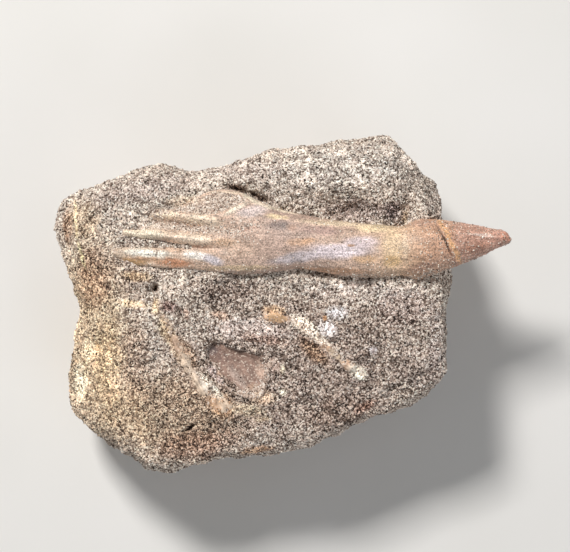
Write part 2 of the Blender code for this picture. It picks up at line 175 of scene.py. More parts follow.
# Fine relief of the tooth: lumps as size and height, long streaks as length, width and height, how much
# stronger the streaks are on the root, and the worn crown with its lumps' height, size and deepest dip
TOOTH_ROUGHNESS = [(3.0, 0.05), (0.9, 0.03), (0.4, 0.015)]
STREAK_SIZE = (5.0, 0.4)
STREAK_HEIGHT = 0.03
ROOT_STREAKS = 2.0
CROWN_FROM = 27.0
CROWN_RAGGED = 0.12
CROWN_RAGGED_SIZE = 0.5
CROWN_RAGGED_DIP = -0.2
# Thin ridges of the tooth's upper side: points along each, half width and height. They are the crown's
# ridge, the crests of the three fingers, the fold and the lip of the margin.
TOOTH_RIDGES = [
    ([(27.6, 10.9), (30, 10.8), (33, 10.5), (36.4, 10.2)], 0.5, 0.3),
    ([(-26.6, 8.3), (-22, 8.2), (-14, 7.9), (-9, 7.6)], 0.55, 0.3),
    ([(-25.6, 11.3), (-21, 10.9), (-15, 10.1), (-10, 9.4)], 0.7, 0.6),
    ([(-21.4, 14.2), (-16, 13.65), (-10.5, 13)], 0.6, 0.55),
    ([(-9.8, 13.7), (-8, 14.5), (-6.4, 15.3), (-4.4, 16)], 0.3, 0.3),
    ([(-13, 16.8), (-11, 17.5), (-9, 17.6), (-6, 16.9), (-4, 16.1)], 0.35, 0.35),
]
RIDGE_FADE = 1.6

# Sand that still lies on the tooth: where its thin margin is covered and how far inside the margin's lip,
# then patches as x, y, reach along, reach across, turn in degrees and share
MARGIN_SANDY = (-3.5, -7.0)
MARGIN_LIP = (0.35, 0.75)
SAND_ON_TOOTH = [
    (-24.2, 13.2, 3, 1.3, -8, 1),
    (-17.6, 12.1, 6.6, 0.7, -6, 0.95),
    (-10, 11.5, 5, 0.8, -6, 0.5),
    (-21, 9.5, 4, 0.5, -4, 0.5),
    (-26.6, 9.8, 1.2, 1.8, 0, 0.7),
    (-17.4, 16.2, 4.6, 1.6, 12, 1),
    (-20.6, 14.8, 1.2, 1.2, 0, 0.6),
    (-6, 12.6, 4, 1, 0, 0.3),
    (23, 4.6, 2.6, 0.8, 16, 0.45),
    (14, 4.2, 6, 0.5, 0, 0.35),
    (-8, 4.8, 8, 0.4, 2, 0.4),
]
SANDY_ROUGHNESS = (0.5, 0.14)

# The scraps of bone, as in the part
BONE_RIM = [
    (-20.1, 1.2, 0.35, 0.25), (-19.4, -0.6, 0.55, 0.35), (-18.4, -3, 0.60, 0.30),
    (-17.2, -5.6, 0.70, 0.45), (-16, -8, 0.80, 0.55), (-14.6, -10.6, 0.85, 0.60),
    (-13.1, -12.9, 1, 0.55), (-11.7, -14.9, 1.30, 0.45), (-9.8, -16.6, 1.90, 0.40),
    (-7.8, -17.9, 1.30, 0.25),
]
BONE_SLIVER = [
    (-3, -1.7, 0.60, 0.20), (-1.6, -2.1, 1.30, 0.50), (0.2, -2.6, 1.30, 0.50),
    (2.1, -3.3, 0.80, 0.30), (4.1, -4.6, 0.70, 0.20), (6.4, -6.8, 0.80, 0.20),
    (9.3, -9, 0.70, 0.25), (11.6, -10.6, 0.85, 0.45), (13.2, -11.7, 0.45, 0.20),
]
SCRAP_ROUGHNESS = [(2.2, 0.4), (0.9, 0.3), (0.4, 0.12)]
SCRAP_THINNEST = 0.02
# How the sand lies on a scrap: its share at the height over the stone where it thins out, that height,
# and the size and strength of its patches
SCRAP_SANDY = 0.35
SCRAP_SANDY_BELOW = 0.2
SCRAP_PATCHES = (0.9, 1.2)
# Where the slender scraps are sandy all over: x, y, reach along, reach across, turn in degrees, share
SAND_ON_SCRAPS = [
    (-19.4, -0.8, 4.2, 2.4, -65, 1),
    (4.2, -4.8, 2.4, 1.6, -45, 0.9),
    (-9, -18.6, 2.6, 0.9, -30, 0.6),
]
BONE_PLATE = [
    (-12.7, -8.2), (-12, -7.1), (-11, -6.4), (-10, -6.2), (-7.1, -7.4), (-3.8, -8), (-0.6, -8.7),
    (-1.5, -10.3), (-2, -12.2), (-2.8, -14.5), (-4.4, -15.4), (-6.8, -14.9), (-9.2, -13.5), (-11.2, -11.7),
    (-12.7, -9.6),
]
PLATE_THICKNESS = 1.6
PLATE_SINK = 0.5
PLATE_TILT = 6.0
PLATE_HOLLOW = 0.5
PLATE_HOLLOW_REACH = 2.2
PLATE_ROUNDING = 0.25
PLATE_ROUNDED_FROM = 0.9
PLATE_INNERMOST = 0.02
PLATE_STREAK_TURN = -55.0
PLATE_STREAK_HEIGHT = 0.05
# The sand's edge around the bare plate: where it starts and ends inside the outline, and how far under it
SAND_EDGE = (-0.1, 0.35)
SAND_UNDER = 0.4
# How far sand creeps over the plate, the size and reach of its wandering edge, and how much denser the
# loose grains on the plate are than that edge
PLATE_SAND_REACH = 2.6
PLATE_SAND_WANDER = (1.2, 1.3)
SANDIER_PLATE = 1.4
# The thin bright ridge on the plate: points along it, half width and height
PLATE_RIDGE = ([(-11.6, -8.6), (-10.6, -10.1), (-9.4, -11.6), (-8.6, -12.6)], 0.16, 0.3)
# Where sand creeps over the plate's edge: x, y, reach along, reach across, turn in degrees, share
SAND_ON_PLATE = [
    (-1.3, -11.2, 1.6, 3.6, 0, 1),
    (-4.6, -15.4, 3.8, 1.7, -15, 1),
    (-10.6, -11.6, 5.4, 1.7, -50, 1.2),
    (-5.6, -14.9, 3.4, 1.9, -8, 1.2),
    (-1, -10.6, 1.6, 2.6, 0, 1),
    (-12.6, -8.8, 1, 1.4, 0, 0.9),
]

# How fine the pieces are
BLOCK_CELLS = (230, 196, 46)
TOOTH_RINGS = 460
TOOTH_UPPER_SIDES = 112
TOOTH_LOWER_SIDES = 44
SCRAP_RINGS = 150
SCRAP_SIDES = 28
PLATE_RINGS = 40
PLATE_CORNER_STEPS = 16

# The stone's roughness as size and height of lumps, and the shares of its height where the top's small
# forms begin
STONE_ROUGHNESS = [(2.6, 0.36), (1.3, 0.32), (0.65, 0.2), (0.36, 0.1)]
SMALL_FORMS_FROM = (0.3, 0.55)

# Sand: grains in all, the most in one piece, smallest and largest radius, the power that makes small ones
# more common, how deep they sit as a share of their radius, and the share that the walls get
GRAINS = 60000
GRAINS_IN_PIECE = 20000
GRAIN_RADIUS = (0.11, 0.27)
SMALL_GRAINS = 1.6
GRAIN_SINK = 0.25
WALL_SHARE = 0.5
# How far a face looks up before its sand counts as the top's, and how high up the lowest grains are
FACES_UP = (0.2, 0.6)
LOWEST_GRAIN = 0.6
# More places are drawn than there are grains, since those under the fossils are left out
SPARE_PLACES = 1.3
# The form of a grain: its flattest and widest side, and how far its corners stand out
GRAIN_FLATTEST = 0.7
GRAIN_WIDEST = 1.25
GRAIN_CORNERS = (0.8, 1.2)
PEBBLES = 260
PEBBLE_RADIUS = (0.28, 0.5)
PEBBLE_SINK = 0.5
PEBBLE_FLATTEST = 0.45
PEBBLE_DARKEST = 0.4
# Grains on each fossil: how many, smallest and largest radius, and the share that bare places get
FOSSIL_GRAINS = {
    "tooth": (4200, (0.06, 0.16), 0.05),
    "rim_bone": (1700, (0.08, 0.19), 0.04),
    "sliver_bone": (1300, (0.08, 0.19), 0.04),
    "plate_bone": (1200, (0.07, 0.17), 0.02),
}
# The darkest tone of a grain on a fossil: the dark grains have worn off there
DARKEST_ON_FOSSIL = 0.1
# The share of grains that the crown gets besides, and the stretch of the tooth where that begins
CROWN_GRAINS = 0.12
CROWN_GRAINS_FROM = (20, 24)
# How far below the top's level grains still stick to a fossil, and how far its faces may turn down there
GRAINS_DOWN_TO = 2.5
GRAINS_OVERHANG = -0.3

# Seeds of each piece's noise and of the random draws
SEEDS = {
    "stone": 20, "tooth": 40, "sandy": 45, "tooth_streaks": 50, "crown": 55, "scrap": 60, "scrap_sand": 66,
    "plate_streaks": 70, "plate": 72, "plate_sand": 76, "sand": 5, "fossil_grains": 9,
}


def smooth_line(at, xs, ys):
    """A smooth curve through the points (xs, ys), read at the positions given."""
    xs = np.asarray(xs, float)
    ys = np.asarray(ys, float)
    slopes = np.gradient(ys, xs)
    at = np.clip(at, xs[0], xs[-1])
    i = np.clip(np.searchsorted(xs, at) - 1, 0, len(xs) - 2)
    width = xs[i + 1] - xs[i]
    t = (at - xs[i]) / width
    return (
        (2 * t**3 - 3 * t**2 + 1) * ys[i]
        + (t**3 - 2 * t**2 + t) * width * slopes[i]
        + (3 * t**2 - 2 * t**3) * ys[i + 1]
        + (t**3 - t**2) * width * slopes[i + 1]
    )


def smooth_step(low, high, value):
    """0 below low, 1 above high and smooth between them."""
    t = np.clip((value - low) / (high - low), 0, 1)
    return t * t * (3 - 2 * t)


def smooth_loop(points, per_side=8):
    """Points along a closed smooth curve through the ones given."""
    p = np.asarray(points, float)
    before, after, beyond = np.roll(p, 1, 0), np.roll(p, -1, 0), np.roll(p, -2, 0)
    found = []
    for t in np.arange(per_side) / per_side:
        found.append(
            0.5 * (2 * p + (after - before) * t + (2 * before - 5 * p + 4 * after - beyond) * t**2
                   + (3 * p - before - 3 * after + beyond) * t**3)
        )
    return np.stack(found, axis=1).reshape(-1, 2)


def line_at(x, line):
    """Where a smooth line through (x, y) points is at each x."""
    return smooth_line(x, *np.transpose(line))


def lumpiness(points, size, seed):
    """Smooth noise from -1 to 1 at each point, with lumps of about the size given."""
    return np.array([noise.noise(Vector(p) / size + Vector((seed, 0, 0))) for p in points])


def turned(x, y, centre, turn):
    """Distances from a centre along and across a direction given in degrees."""
    c, s = math.cos(math.radians(turn)), math.sin(math.radians(turn))
    return (x - centre[0]) * c + (y - centre[1]) * s, (y - centre[1]) * c - (x - centre[0]) * s


def forms_height(x, y, forms):
    """The sum of a list of swells and hollows at each point."""
    z = np.zeros(np.shape(x))
    for cx, cy, along, across, turn, height in forms:
        u, v = turned(x, y, (cx, cy), turn)
        z = z + height * np.exp(-((u / along) ** 2) - (v / across) ** 2)
    return z


def ledges_height(x, y):
    """Small ledges: each falls sharply at its line and dies away on both sides."""
    z = np.zeros(np.shape(x))
    for cx, cy, turn, half_length, fall in LEDGES:
        u, v = turned(x, y, (cx, cy), turn)
        reach = np.exp(-((u / LEDGE_REACH) ** 2) - (v / half_length) ** 4)
        z = z - fall / 2 * np.tanh(u / LEDGE_EDGE) * reach
    return z


def outline_reach(angle):
    """How far the block's outline is from its centre in each direction."""
    loop = smooth_loop(BLOCK_OUTLINE) - BLOCK_CENTRE
    angles = np.arctan2(loop[:, 1], loop[:, 0])
    order = np.argsort(angles)
    return np.interp(angle, angles[order], np.hypot(*loop.T)[order], period=2 * math.pi)


def top_height(x, y):
    """Height of the block's top face, before its edges are rounded."""
    z = TOP_LEVEL + forms_height(x, y, TOP_FORMS)
    z = z - LEFT_SLOPE * np.maximum(LEFT_SLOPE_FROM - x, 0)
    return z - FRONT_SLOPE * np.maximum(FRONT_SLOPE_FROM - y, 0)


def lifted(z):
    """0 on the underside and 1 from ROUGH_ABOVE up, so that the underside stays flat."""
    return np.clip(z / ROUGH_ABOVE, 0, 1)


def roughened(points, away, size, height, seed):
    """Pushes points out and in by lumps, but leaves the underside flat."""
    push = lumpiness(points, size, seed) * height * lifted(points[:, 2])
    return points + away * push[:, None]


def face_height(x, y):
    """Height of the block's top face with its lumps, away from the edges."""
    z = top_height(x, y)
    for (size, height), seed in ((BROAD_LUMPS, BROAD_SEED), (FINE_LUMPS, FINE_SEED)):
        points = np.stack([x, y, z], axis=-1).reshape(-1, 3)
        z = z + height * lumpiness(points, size, seed).reshape(np.shape(z))
    return z


def chipped(points):
    """Flattens what stands past each chip's plane."""
    for azimuth, elevation, bite in CHIPS:
        a, e = math.radians(azimuth), math.radians(elevation)
        facing = np.array([math.cos(a) * math.cos(e), math.sin(a) * math.cos(e), math.sin(e)])
        reach = points @ facing
        points = points - np.maximum(reach - (reach.max() - bite), 0)[:, None] * facing
    return np.maximum(points, [-np.inf, -np.inf, 0.0])


def block_surface(cube):
    """Carries points on the surface of a cube from -1 to 1 to the block's surface."""
    u, v, w = cube.T
    angle = np.arctan2(v * BLOCK_HALF[1], u * BLOCK_HALF[0])
    ring = np.maximum(abs(u), abs(v))
    reach = outline_reach(angle)
    radius = ring * reach
    x = BLOCK_CENTRE[0] + radius * np.cos(angle)
    y = BLOCK_CENTRE[1] + radius * np.sin(angle)
    top = top_height(x, y)
    z = (w + 1) / 2 * top

    top_edge = np.interp(np.degrees(angle), TOP_EDGE_ANGLES, TOP_EDGE_RADII)
    for edge, wall in ((top_edge, top - z), (UNDER_EDGE, z)):
        past_r = np.maximum(radius - (reach - edge), 0)
        past_z = np.maximum(edge - wall, 0)
        past = np.maximum(np.hypot(past_r, past_z), TINY)
        share = np.where((past_r > 0) & (past_z > 0), edge / past, 1.0)
        radius = radius + past_r * (share - 1)
        z = z + np.where(wall is z, -1, 1) * past_z * (share - 1)

    low = np.clip(1 - z / (UNDER_SHARE * top), 0, 1)
    radius = radius * (1 - UNDER_SHRINK * low**2)
    x = BLOCK_CENTRE[0] + radius * np.cos(angle)
    y = BLOCK_CENTRE[1] + radius * np.sin(angle)
    points = np.stack([x, y, z], axis=1)

    outwards = ring**EDGE_TURN
    away = np.stack([np.cos(angle) * outwards, np.sin(angle) * outwards, np.isclose(w, 1.0)], axis=1)
    away = away / np.maximum(np.linalg.norm(away, axis=1), TINY)[:, None]
    points = roughened(points, away, *BROAD_LUMPS, BROAD_SEED)
    points = chipped(points)
    return roughened(points, away, *FINE_LUMPS, FINE_SEED)


def cube_surface(cells):
    """Points and four-sided faces of a cube's surface from -1 to 1, with its cells along x, y and z."""
    faces = []
    for axis in range(3):
        one, other = (axis + 1) % 3, (axis + 2) % 3
        grid = np.meshgrid(np.arange(cells[one]), np.arange(cells[other]), indexing="ij")
        i, j = grid[0].ravel(), grid[1].ravel()
        for side, order in ((0, -1), (cells[axis], 1)):
            corners = np.zeros((len(i), 4, 3), int)
            corners[:, :, axis] = side
            for k, (di, dj) in enumerate(((0, 0), (1, 0), (1, 1), (0, 1))):
                corners[:, k, one] = i + di
                corners[:, k, other] = j + dj
            faces.append(corners[:, ::order])
    faces = np.concatenate(faces)
    places, index = np.unique(faces.reshape(-1, 3), axis=0, return_inverse=True)
    return places / np.array(cells) * 2 - 1, index.reshape(-1, 4)


def inside_distance(x, y, corners):
    """How far each point is inside a closed outline; negative outside it."""
    off = np.full(np.shape(x), np.inf)
    inside = np.zeros(np.shape(x), bool)
    for (ax, ay), (bx, by) in zip(corners, np.roll(corners, -1, 0)):
        ex, ey = bx - ax, by - ay
        t = np.clip(((x - ax) * ex + (y - ay) * ey) / (ex * ex + ey * ey), 0, 1)
        off = np.minimum(off, np.hypot(x - ax - t * ex, y - ay - t * ey))
        if ay != by:
            inside ^= ((ay > y) != (by > y)) & (x < ax + (y - ay) / ey * ex)
    return np.where(inside, off, -off)


def placed(name, data):
    """An object of a mesh, a lamp or a camera, in the scene."""
    made = bpy.data.objects.new(name, data)
    bpy.context.scene.collection.objects.link(made)
    return made


def new_piece(name, points, faces):
    """An object in metres from points in millimetres and the corners of its faces."""
    mesh = bpy.data.meshes.new(name)
    mesh.from_pydata((np.asarray(points) * MM).tolist(), [], faces)
    mesh.shade_smooth()
    return placed(name, mesh)


def close_piece(piece):
    """Fills what is open in a piece with flat faces and turns every face outwards."""
    bm = bmesh.new()
    bm.from_mesh(piece.data)
    bmesh.ops.holes_fill(bm, edges=[e for e in bm.edges if e.is_boundary], sides=0)
    bmesh.ops.recalc_face_normals(bm, faces=bm.faces)
    bm.to_mesh(piece.data)
    bm.free()


def read_points(piece):
    """A piece's points and their normals, in millimetres."""
    mesh = piece.data
    points = np.empty(len(mesh.vertices) * 3)
    normals = np.empty(len(mesh.vertices) * 3)
    mesh.vertices.foreach_get("co", points)
    mesh.vertex_normals.foreach_get("vector", normals)
    return points.reshape(-1, 3) / MM, normals.reshape(-1, 3)


def push_out(piece, push):
    """Moves each point of a piece along its normal, in millimetres."""
    points, normals = read_points(piece)
    piece.data.vertices.foreach_set("co", ((points + normals * push[:, None]) * MM).ravel())
    piece.data.update()


def cover_with_sand(piece, cover):
    """Keeps the share of sand on each point of a piece, for its material and its grains."""
    sandy = piece.data.attributes.new("sandy", "FLOAT", "POINT")
    sandy.data.foreach_set("value", np.asarray(cover, float))


def roughen(piece, layers, seed, share=1.0):
    """Pushes a piece's surface out and in by layers of lumps."""
    points, _ = read_points(piece)
    push = sum(lumpiness(points, size, seed + k) * height for k, (size, height) in enumerate(layers))
    push_out(piece, push * share)


def plate_level(x, y):
    """Height of the bone plate's upper side, which is tilted and slightly hollow."""
    middle = np.mean(BONE_PLATE, axis=0)
    flat = float(face_height(*middle)) - PLATE_SINK - (y - middle[1]) * math.tan(math.radians(PLATE_TILT))
    return flat - PLATE_HOLLOW * smooth_step(0, PLATE_HOLLOW_REACH, inside_distance(x, y, BONE_PLATE))


def sand_on_plate(x, y):
    """The share of sand over the bone plate at each point: it creeps in unevenly from some of its edges."""
    size, reach = PLATE_SAND_WANDER
    wander = lumpiness(np.stack([x, y, np.zeros(np.shape(x))], axis=1), size, SEEDS["plate_sand"]) * reach
    crept = smooth_step(PLATE_SAND_REACH, 0, inside_distance(x, y, BONE_PLATE) + wander)
    return np.clip(forms_height(x, y, SAND_ON_PLATE), 0, 1) * crept


def plate_bareness(x, y):
    """How far the bone plate is cleared of stone at each point."""
    return smooth_step(*SAND_EDGE, inside_distance(x, y, BONE_PLATE)) * (1 - sand_on_plate(x, y))


def make_block():
    """The block with its pits, ledges and rough faces, and its sand cleared from the bone plate."""
    cube, faces = cube_surface(BLOCK_CELLS)
    x, y, z = block_surface(cube).T
    upper = smooth_step(*SMALL_FORMS_FROM, z / TOP_LEVEL) * np.isclose(cube[:, 2], 1.0)
    z = z + upper * (forms_height(x, y, SMALL_FORMS) + ledges_height(x, y))
    bare = upper * plate_bareness(x, y)
    z = z - bare * np.maximum(z - plate_level(x, y) + SAND_UNDER, 0)

    points = np.stack([x, y, z], axis=1)
    raised = (points[faces][:, :, 2] > FLAT_UNDER).any(axis=1)
    used, index = np.unique(faces[raised], return_inverse=True)
    block = new_piece("sandstone_block", points[used], index.reshape(-1, 4).tolist())
    close_piece(block)
    points, _ = read_points(block)
    covered = plate_bareness(points[:, 0], points[:, 1]) * (points[:, 2] > TOP_LEVEL / 2)
    roughen(block, STONE_ROUGHNESS, SEEDS["stone"], share=lifted(points[:, 2]) * (1 - covered))
    return block


def root_depth(x, y):
    """How much the root's furrows, and the step down to its thin upper margin, lower it at each point."""
    fade = 1 - smooth_step(FURROWS_FADE_FROM, FURROWS_FADE_TO, x)
    fold = line_at(x, FOLD_LINE)
    depth = FOLD_DROP * smooth_step(0, FOLD_WIDTH, y - fold)
    for line, half_width, deep in FURROWS:
        middle = line_at(x, line)
        depth = depth + deep * fade * np.exp(-(((y - middle) / half_width) ** 2))
    return depth


def break_depth(x, y):
    """How deep the break across the crown is at each point."""
    line = np.array(CROWN_BREAK)[::-1]
    off = x - smooth_line(y, line[:, 1], line[:, 0])
    return BREAK_DEPTH * np.exp(-((off / BREAK_HALF_WIDTH) ** 2))


def ridge_height(x, y):
    """How far the tooth's thin ridges stand out at each point."""
    height = np.zeros(np.shape(x))
    for line, half_width, rise in TOOTH_RIDGES:
        off = (y - line_at(x, line)) / half_width
        begun = smooth_step(0, RIDGE_FADE, x - line[0][0]) * smooth_step(0, RIDGE_FADE, line[-1][0] - x)
        height = height + rise * begun * np.exp(-(off**2))
    return height


def sand_on_tooth(x, y):
    """The share of sand on the tooth's upper side at each point."""
    fold = line_at(x, FOLD_LINE)
    upper = smooth_line(x, *np.transpose(TOOTH_OUTLINE)[:2])
    margin = smooth_step(0, FOLD_WIDTH, y - fold) * smooth_step(*MARGIN_SANDY, x)
    return np.clip(margin * smooth_step(*MARGIN_LIP, upper - y) + forms_height(x, y, SAND_ON_TOOTH), 0, 1)


def tooth_points(rings):
    """The tooth's surface as rings of points from root to tip."""
    outline = np.array(TOOTH_OUTLINE)
    height = np.array(TOOTH_HEIGHT)
    share = np.linspace(0, 1, rings)
    crowded = 0.5 - 0.5 * np.cos(math.pi * share)
    along = share + TOOTH_END_CROWDING * (crowded - share)
    x = outline[0, 0] + along * (outline[-1, 0] - outline[0, 0])
    upper, lower = (smooth_line(x, outline[:, 0], outline[:, k]) for k in (1, 2))
    level, rise, depth, sharpness = (smooth_line(x, height[:, 0], height[:, k]) for k in (1, 2, 3, 4))
    upper_turn = np.linspace(0, math.pi, TOOTH_UPPER_SIDES, endpoint=False)
    lower_turn = np.linspace(math.pi, 2 * math.pi, TOOTH_LOWER_SIDES, endpoint=False)
    turn = np.concatenate([upper_turn, lower_turn])
    c, s = np.cos(turn)[None, :], np.sin(turn)[None, :]
    half = (upper - lower)[:, None] / 2
    y = (upper + lower)[:, None] / 2 + half * c
    bulge = np.abs(s) ** sharpness[:, None]
    xx = np.broadcast_to(x[:, None], y.shape)
    over = rise[:, None] - root_depth(xx, y) - break_depth(xx, y) + ridge_height(xx, y)
    z = level[:, None] + np.where(s > 0, over, -depth[:, None]) * bulge
    return np.stack([xx, y, z], axis=2)


def loft_piece(name, rings):
    """A closed piece through rings of points, with flat ends."""
    count, sides, _ = rings.shape
    i, j = np.meshgrid(np.arange(count - 1), np.arange(sides), indexing="ij")
    k = (j + 1) % sides
    around = np.stack([i * sides + j, i * sides + k, (i + 1) * sides + k, (i + 1) * sides + j], axis=-1)
    made = new_piece(name, rings.reshape(-1, 3), around.reshape(-1, 4).tolist())
    close_piece(made)
    return made


def streaks(points, turn, size, seed):
    """Noise drawn out along a direction of the top face in degrees, in streaks of a length and width."""
    along, across = turned(points[:, 0], points[:, 1], (0, 0), turn)
    length, width = size
    drawn = np.stack([along / length, across / width, points[:, 2] / width], axis=1)
    return lumpiness(drawn, 1.0, seed)


def make_tooth():
    """The tooth with its striations, its healed break and its ragged crown."""
    tooth = loft_piece("tooth", tooth_points(TOOTH_RINGS))
    points, _ = read_points(tooth)
    x = points[:, 0]
    root = 1 + ROOT_STREAKS * smooth_step(-FURROWS_FADE_TO, -FURROWS_FADE_FROM, -x)
    drawn = streaks(points, 0, STREAK_SIZE, SEEDS["tooth_streaks"])
    push_out(tooth, drawn * STREAK_HEIGHT * root)
    crown = smooth_step(CROWN_FROM, CROWN_FROM + 1, x)
    ragged = np.maximum(lumpiness(points, CROWN_RAGGED_SIZE, SEEDS["crown"]), CROWN_RAGGED_DIP)
    push_out(tooth, CROWN_RAGGED * crown * ragged)
    roughen(tooth, TOOTH_ROUGHNESS, SEEDS["tooth"])
    cover = sand_on_tooth(x, points[:, 1])
    roughen(tooth, [SANDY_ROUGHNESS], SEEDS["sandy"], cover)
    cover_with_sand(tooth, cover)
    return tooth


def make_scrap(name, line):
    """A slender scrap of bone lying in the block's top face: an uneven rod of changing radius."""
    p = np.array(line)
    reach = np.concatenate([[0], np.cumsum(np.hypot(*np.diff(p[:, :2], axis=0).T))])
    at = np.linspace(0, reach[-1], SCRAP_RINGS)
    x, y, radius, rise = (smooth_line(at, reach, p[:, k]) for k in range(4))
    z = face_height(x, y) + rise - radius
    radius = radius * np.sqrt(np.clip(np.minimum(at, reach[-1] - at) / p[:, 2].mean(), SCRAP_THINNEST, 1))
    run = np.gradient(np.stack([x, y], axis=1), axis=0)
    run = run / np.linalg.norm(run, axis=1)[:, None]
    turn = np.arange(SCRAP_SIDES) / SCRAP_SIDES * 2 * math.pi
    out = radius[:, None] * np.cos(turn)
    up = radius[:, None] * np.sin(turn)
    xs = x[:, None] - run[:, 1:] * out
    ys = y[:, None] + run[:, :1] * out
    scrap = loft_piece(name, np.stack([xs, ys, z[:, None] + up], axis=2))
    roughen(scrap, SCRAP_ROUGHNESS, SEEDS["scrap"])
    points, _ = read_points(scrap)
    above = points[:, 2] - face_height(points[:, 0], points[:, 1]) - SCRAP_SANDY_BELOW
    size, strength = SCRAP_PATCHES
    patches = lumpiness(points, size, SEEDS["scrap_sand"]) * strength
    patches = patches + forms_height(points[:, 0], points[:, 1], SAND_ON_SCRAPS)
    cover_with_sand(scrap, np.clip(SCRAP_SANDY - above / SCRAP_SANDY_BELOW / 2 + patches, 0, 1))
    return scrap


def make_plate():
    """The flat scrap of bone: a slightly hollow plate with striations across its upper side."""
    corners = smooth_loop(BONE_PLATE, PLATE_CORNER_STEPS)
    middle = corners.mean(axis=0)
    share = np.linspace(PLATE_INNERMOST, 1, PLATE_RINGS)[:, None]
    places = middle + (corners - middle) * share[..., None]
    level = plate_level(places[..., 0], places[..., 1])
    rounding = PLATE_ROUNDING * (1 - np.sqrt(1 - smooth_step(PLATE_ROUNDED_FROM, 1, share) ** 2))
    upper = np.concatenate([places, (level - rounding)[..., None]], axis=2)
    lower = np.concatenate([places, (level - PLATE_THICKNESS)[..., None]], axis=2)[::-1]
    plate = loft_piece("plate_bone", np.concatenate([upper, lower]))
    points, _ = read_points(plate)
    drawn = streaks(points, PLATE_STREAK_TURN, STREAK_SIZE, SEEDS["plate_streaks"])
    push_out(plate, drawn * PLATE_STREAK_HEIGHT)
    roughen(plate, TOOTH_ROUGHNESS, SEEDS["plate"])
    line, half_width, rise = PLATE_RIDGE
    off = (points[:, 1] - line_at(points[:, 0], line)) / half_width
    begun = (points[:, 0] > line[0][0]) & (points[:, 0] < line[-1][0])
    push_out(plate, rise * begun * np.exp(-(off**2)))
    cover_with_sand(plate, np.clip(SANDIER_PLATE * sand_on_plate(points[:, 0], points[:, 1]), 0, 1))
    return plate


def covered_by(fossils):
    """A test of whether a place in millimetres lies inside or under one of the fossils."""
    graph = bpy.context.evaluated_depsgraph_get()
    trees = [bvhtree.BVHTree.FromObject(obj, graph) for obj in fossils]

    def covered(place):
        for tree in trees:
            _, normal, _, _ = tree.ray_cast(Vector(place) * MM, Vector((0, 0, 1)))
            if normal is not None and normal.z > 0:
                return True
        return False

    return covered


def scatter(piece, count, weight, rng):
    """Random places on a piece with their normals: more where weight(middles, normals, sandy) is larger."""
    points, _ = read_points(piece)
    sandy = np.zeros(len(points))
    if "sandy" in piece.data.attributes:
        piece.data.attributes["sandy"].data.foreach_get("value", sandy)
    mesh = piece.data
    mesh.calc_loop_triangles()
    corners = np.empty(len(mesh.loop_triangles) * 3, int)
    mesh.loop_triangles.foreach_get("vertices", corners)
    a, b, c = (points[corners[k::3]] for k in range(3))
    across = np.cross(b - a, c - a)
    area = np.linalg.norm(across, axis=1)
    normals = across / np.maximum(area, TINY**2)[:, None]
    share = area * weight((a + b + c) / 3, normals, sandy[corners].reshape(-1, 3).mean(axis=1))
    chosen = rng.choice(len(area), count, p=share / share.sum())
    s, t = rng.random((2, count, 1))
    s, t = np.where(s + t > 1, 1 - s, s), np.where(s + t > 1, 1 - t, t)
    return a[chosen] + s * (b - a)[chosen] + t * (c - a)[chosen], normals[chosen]


def random_turns(count, rng):
    """Random rotation matrices."""
    q = rng.normal(size=(count, 4))
    w, x, y, z = (q / np.linalg.norm(q, axis=1)[:, None]).T
    rows = [
        [1 - 2 * (y * y + z * z), 2 * (x * y - z * w), 2 * (x * z + y * w)],
        [2 * (x * y + z * w), 1 - 2 * (x * x + z * z), 2 * (y * z - x * w)],
        [2 * (x * z - y * w), 2 * (y * z + x * w), 1 - 2 * (x * x + y * y)],
    ]
    return np.transpose(np.array(rows), (2, 0, 1))


def stone_shape(steps):
    """Points and triangles of a grain or pebble: an octahedron for 0 steps, or else a ball of few faces."""
    bm = bmesh.new()
    if steps:
        bmesh.ops.create_icosphere(bm, subdivisions=steps, radius=1.0)
    else:
        bmesh.ops.create_uvsphere(bm, u_segments=4, v_segments=2, radius=1.0)
    points = np.array([v.co for v in bm.verts])
    faces = np.array([[v.index for v in f.verts] for f in bm.faces])
    bm.free()
    return points, faces


def make_grains(name, places, radii, shape, rng, flattest=GRAIN_FLATTEST, darkest=0.0):
    """Many small angular stones joined in one piece, each with a tone of its own from the darkest to 1."""
    points, faces = shape
    count = len(places)
    size = radii[:, None, None] * rng.uniform(flattest, GRAIN_WIDEST, (count, 1, 3))
    forms = points[None] * size * rng.uniform(*GRAIN_CORNERS, (count, len(points), 1))
    forms = np.einsum("nij,nkj->nki", random_turns(count, rng), forms) + places[:, None]
    index = faces[None] + (np.arange(count) * len(points))[:, None, None]
    made = new_piece(name, forms.reshape(-1, 3), index.reshape(-1, 3).tolist())
    made.data.shade_flat()
    tone = made.data.attributes.new("tone", "FLOAT", "POINT")
    tone.data.foreach_set("value", np.repeat(rng.uniform(darkest, 1, count), len(points)))
    return made


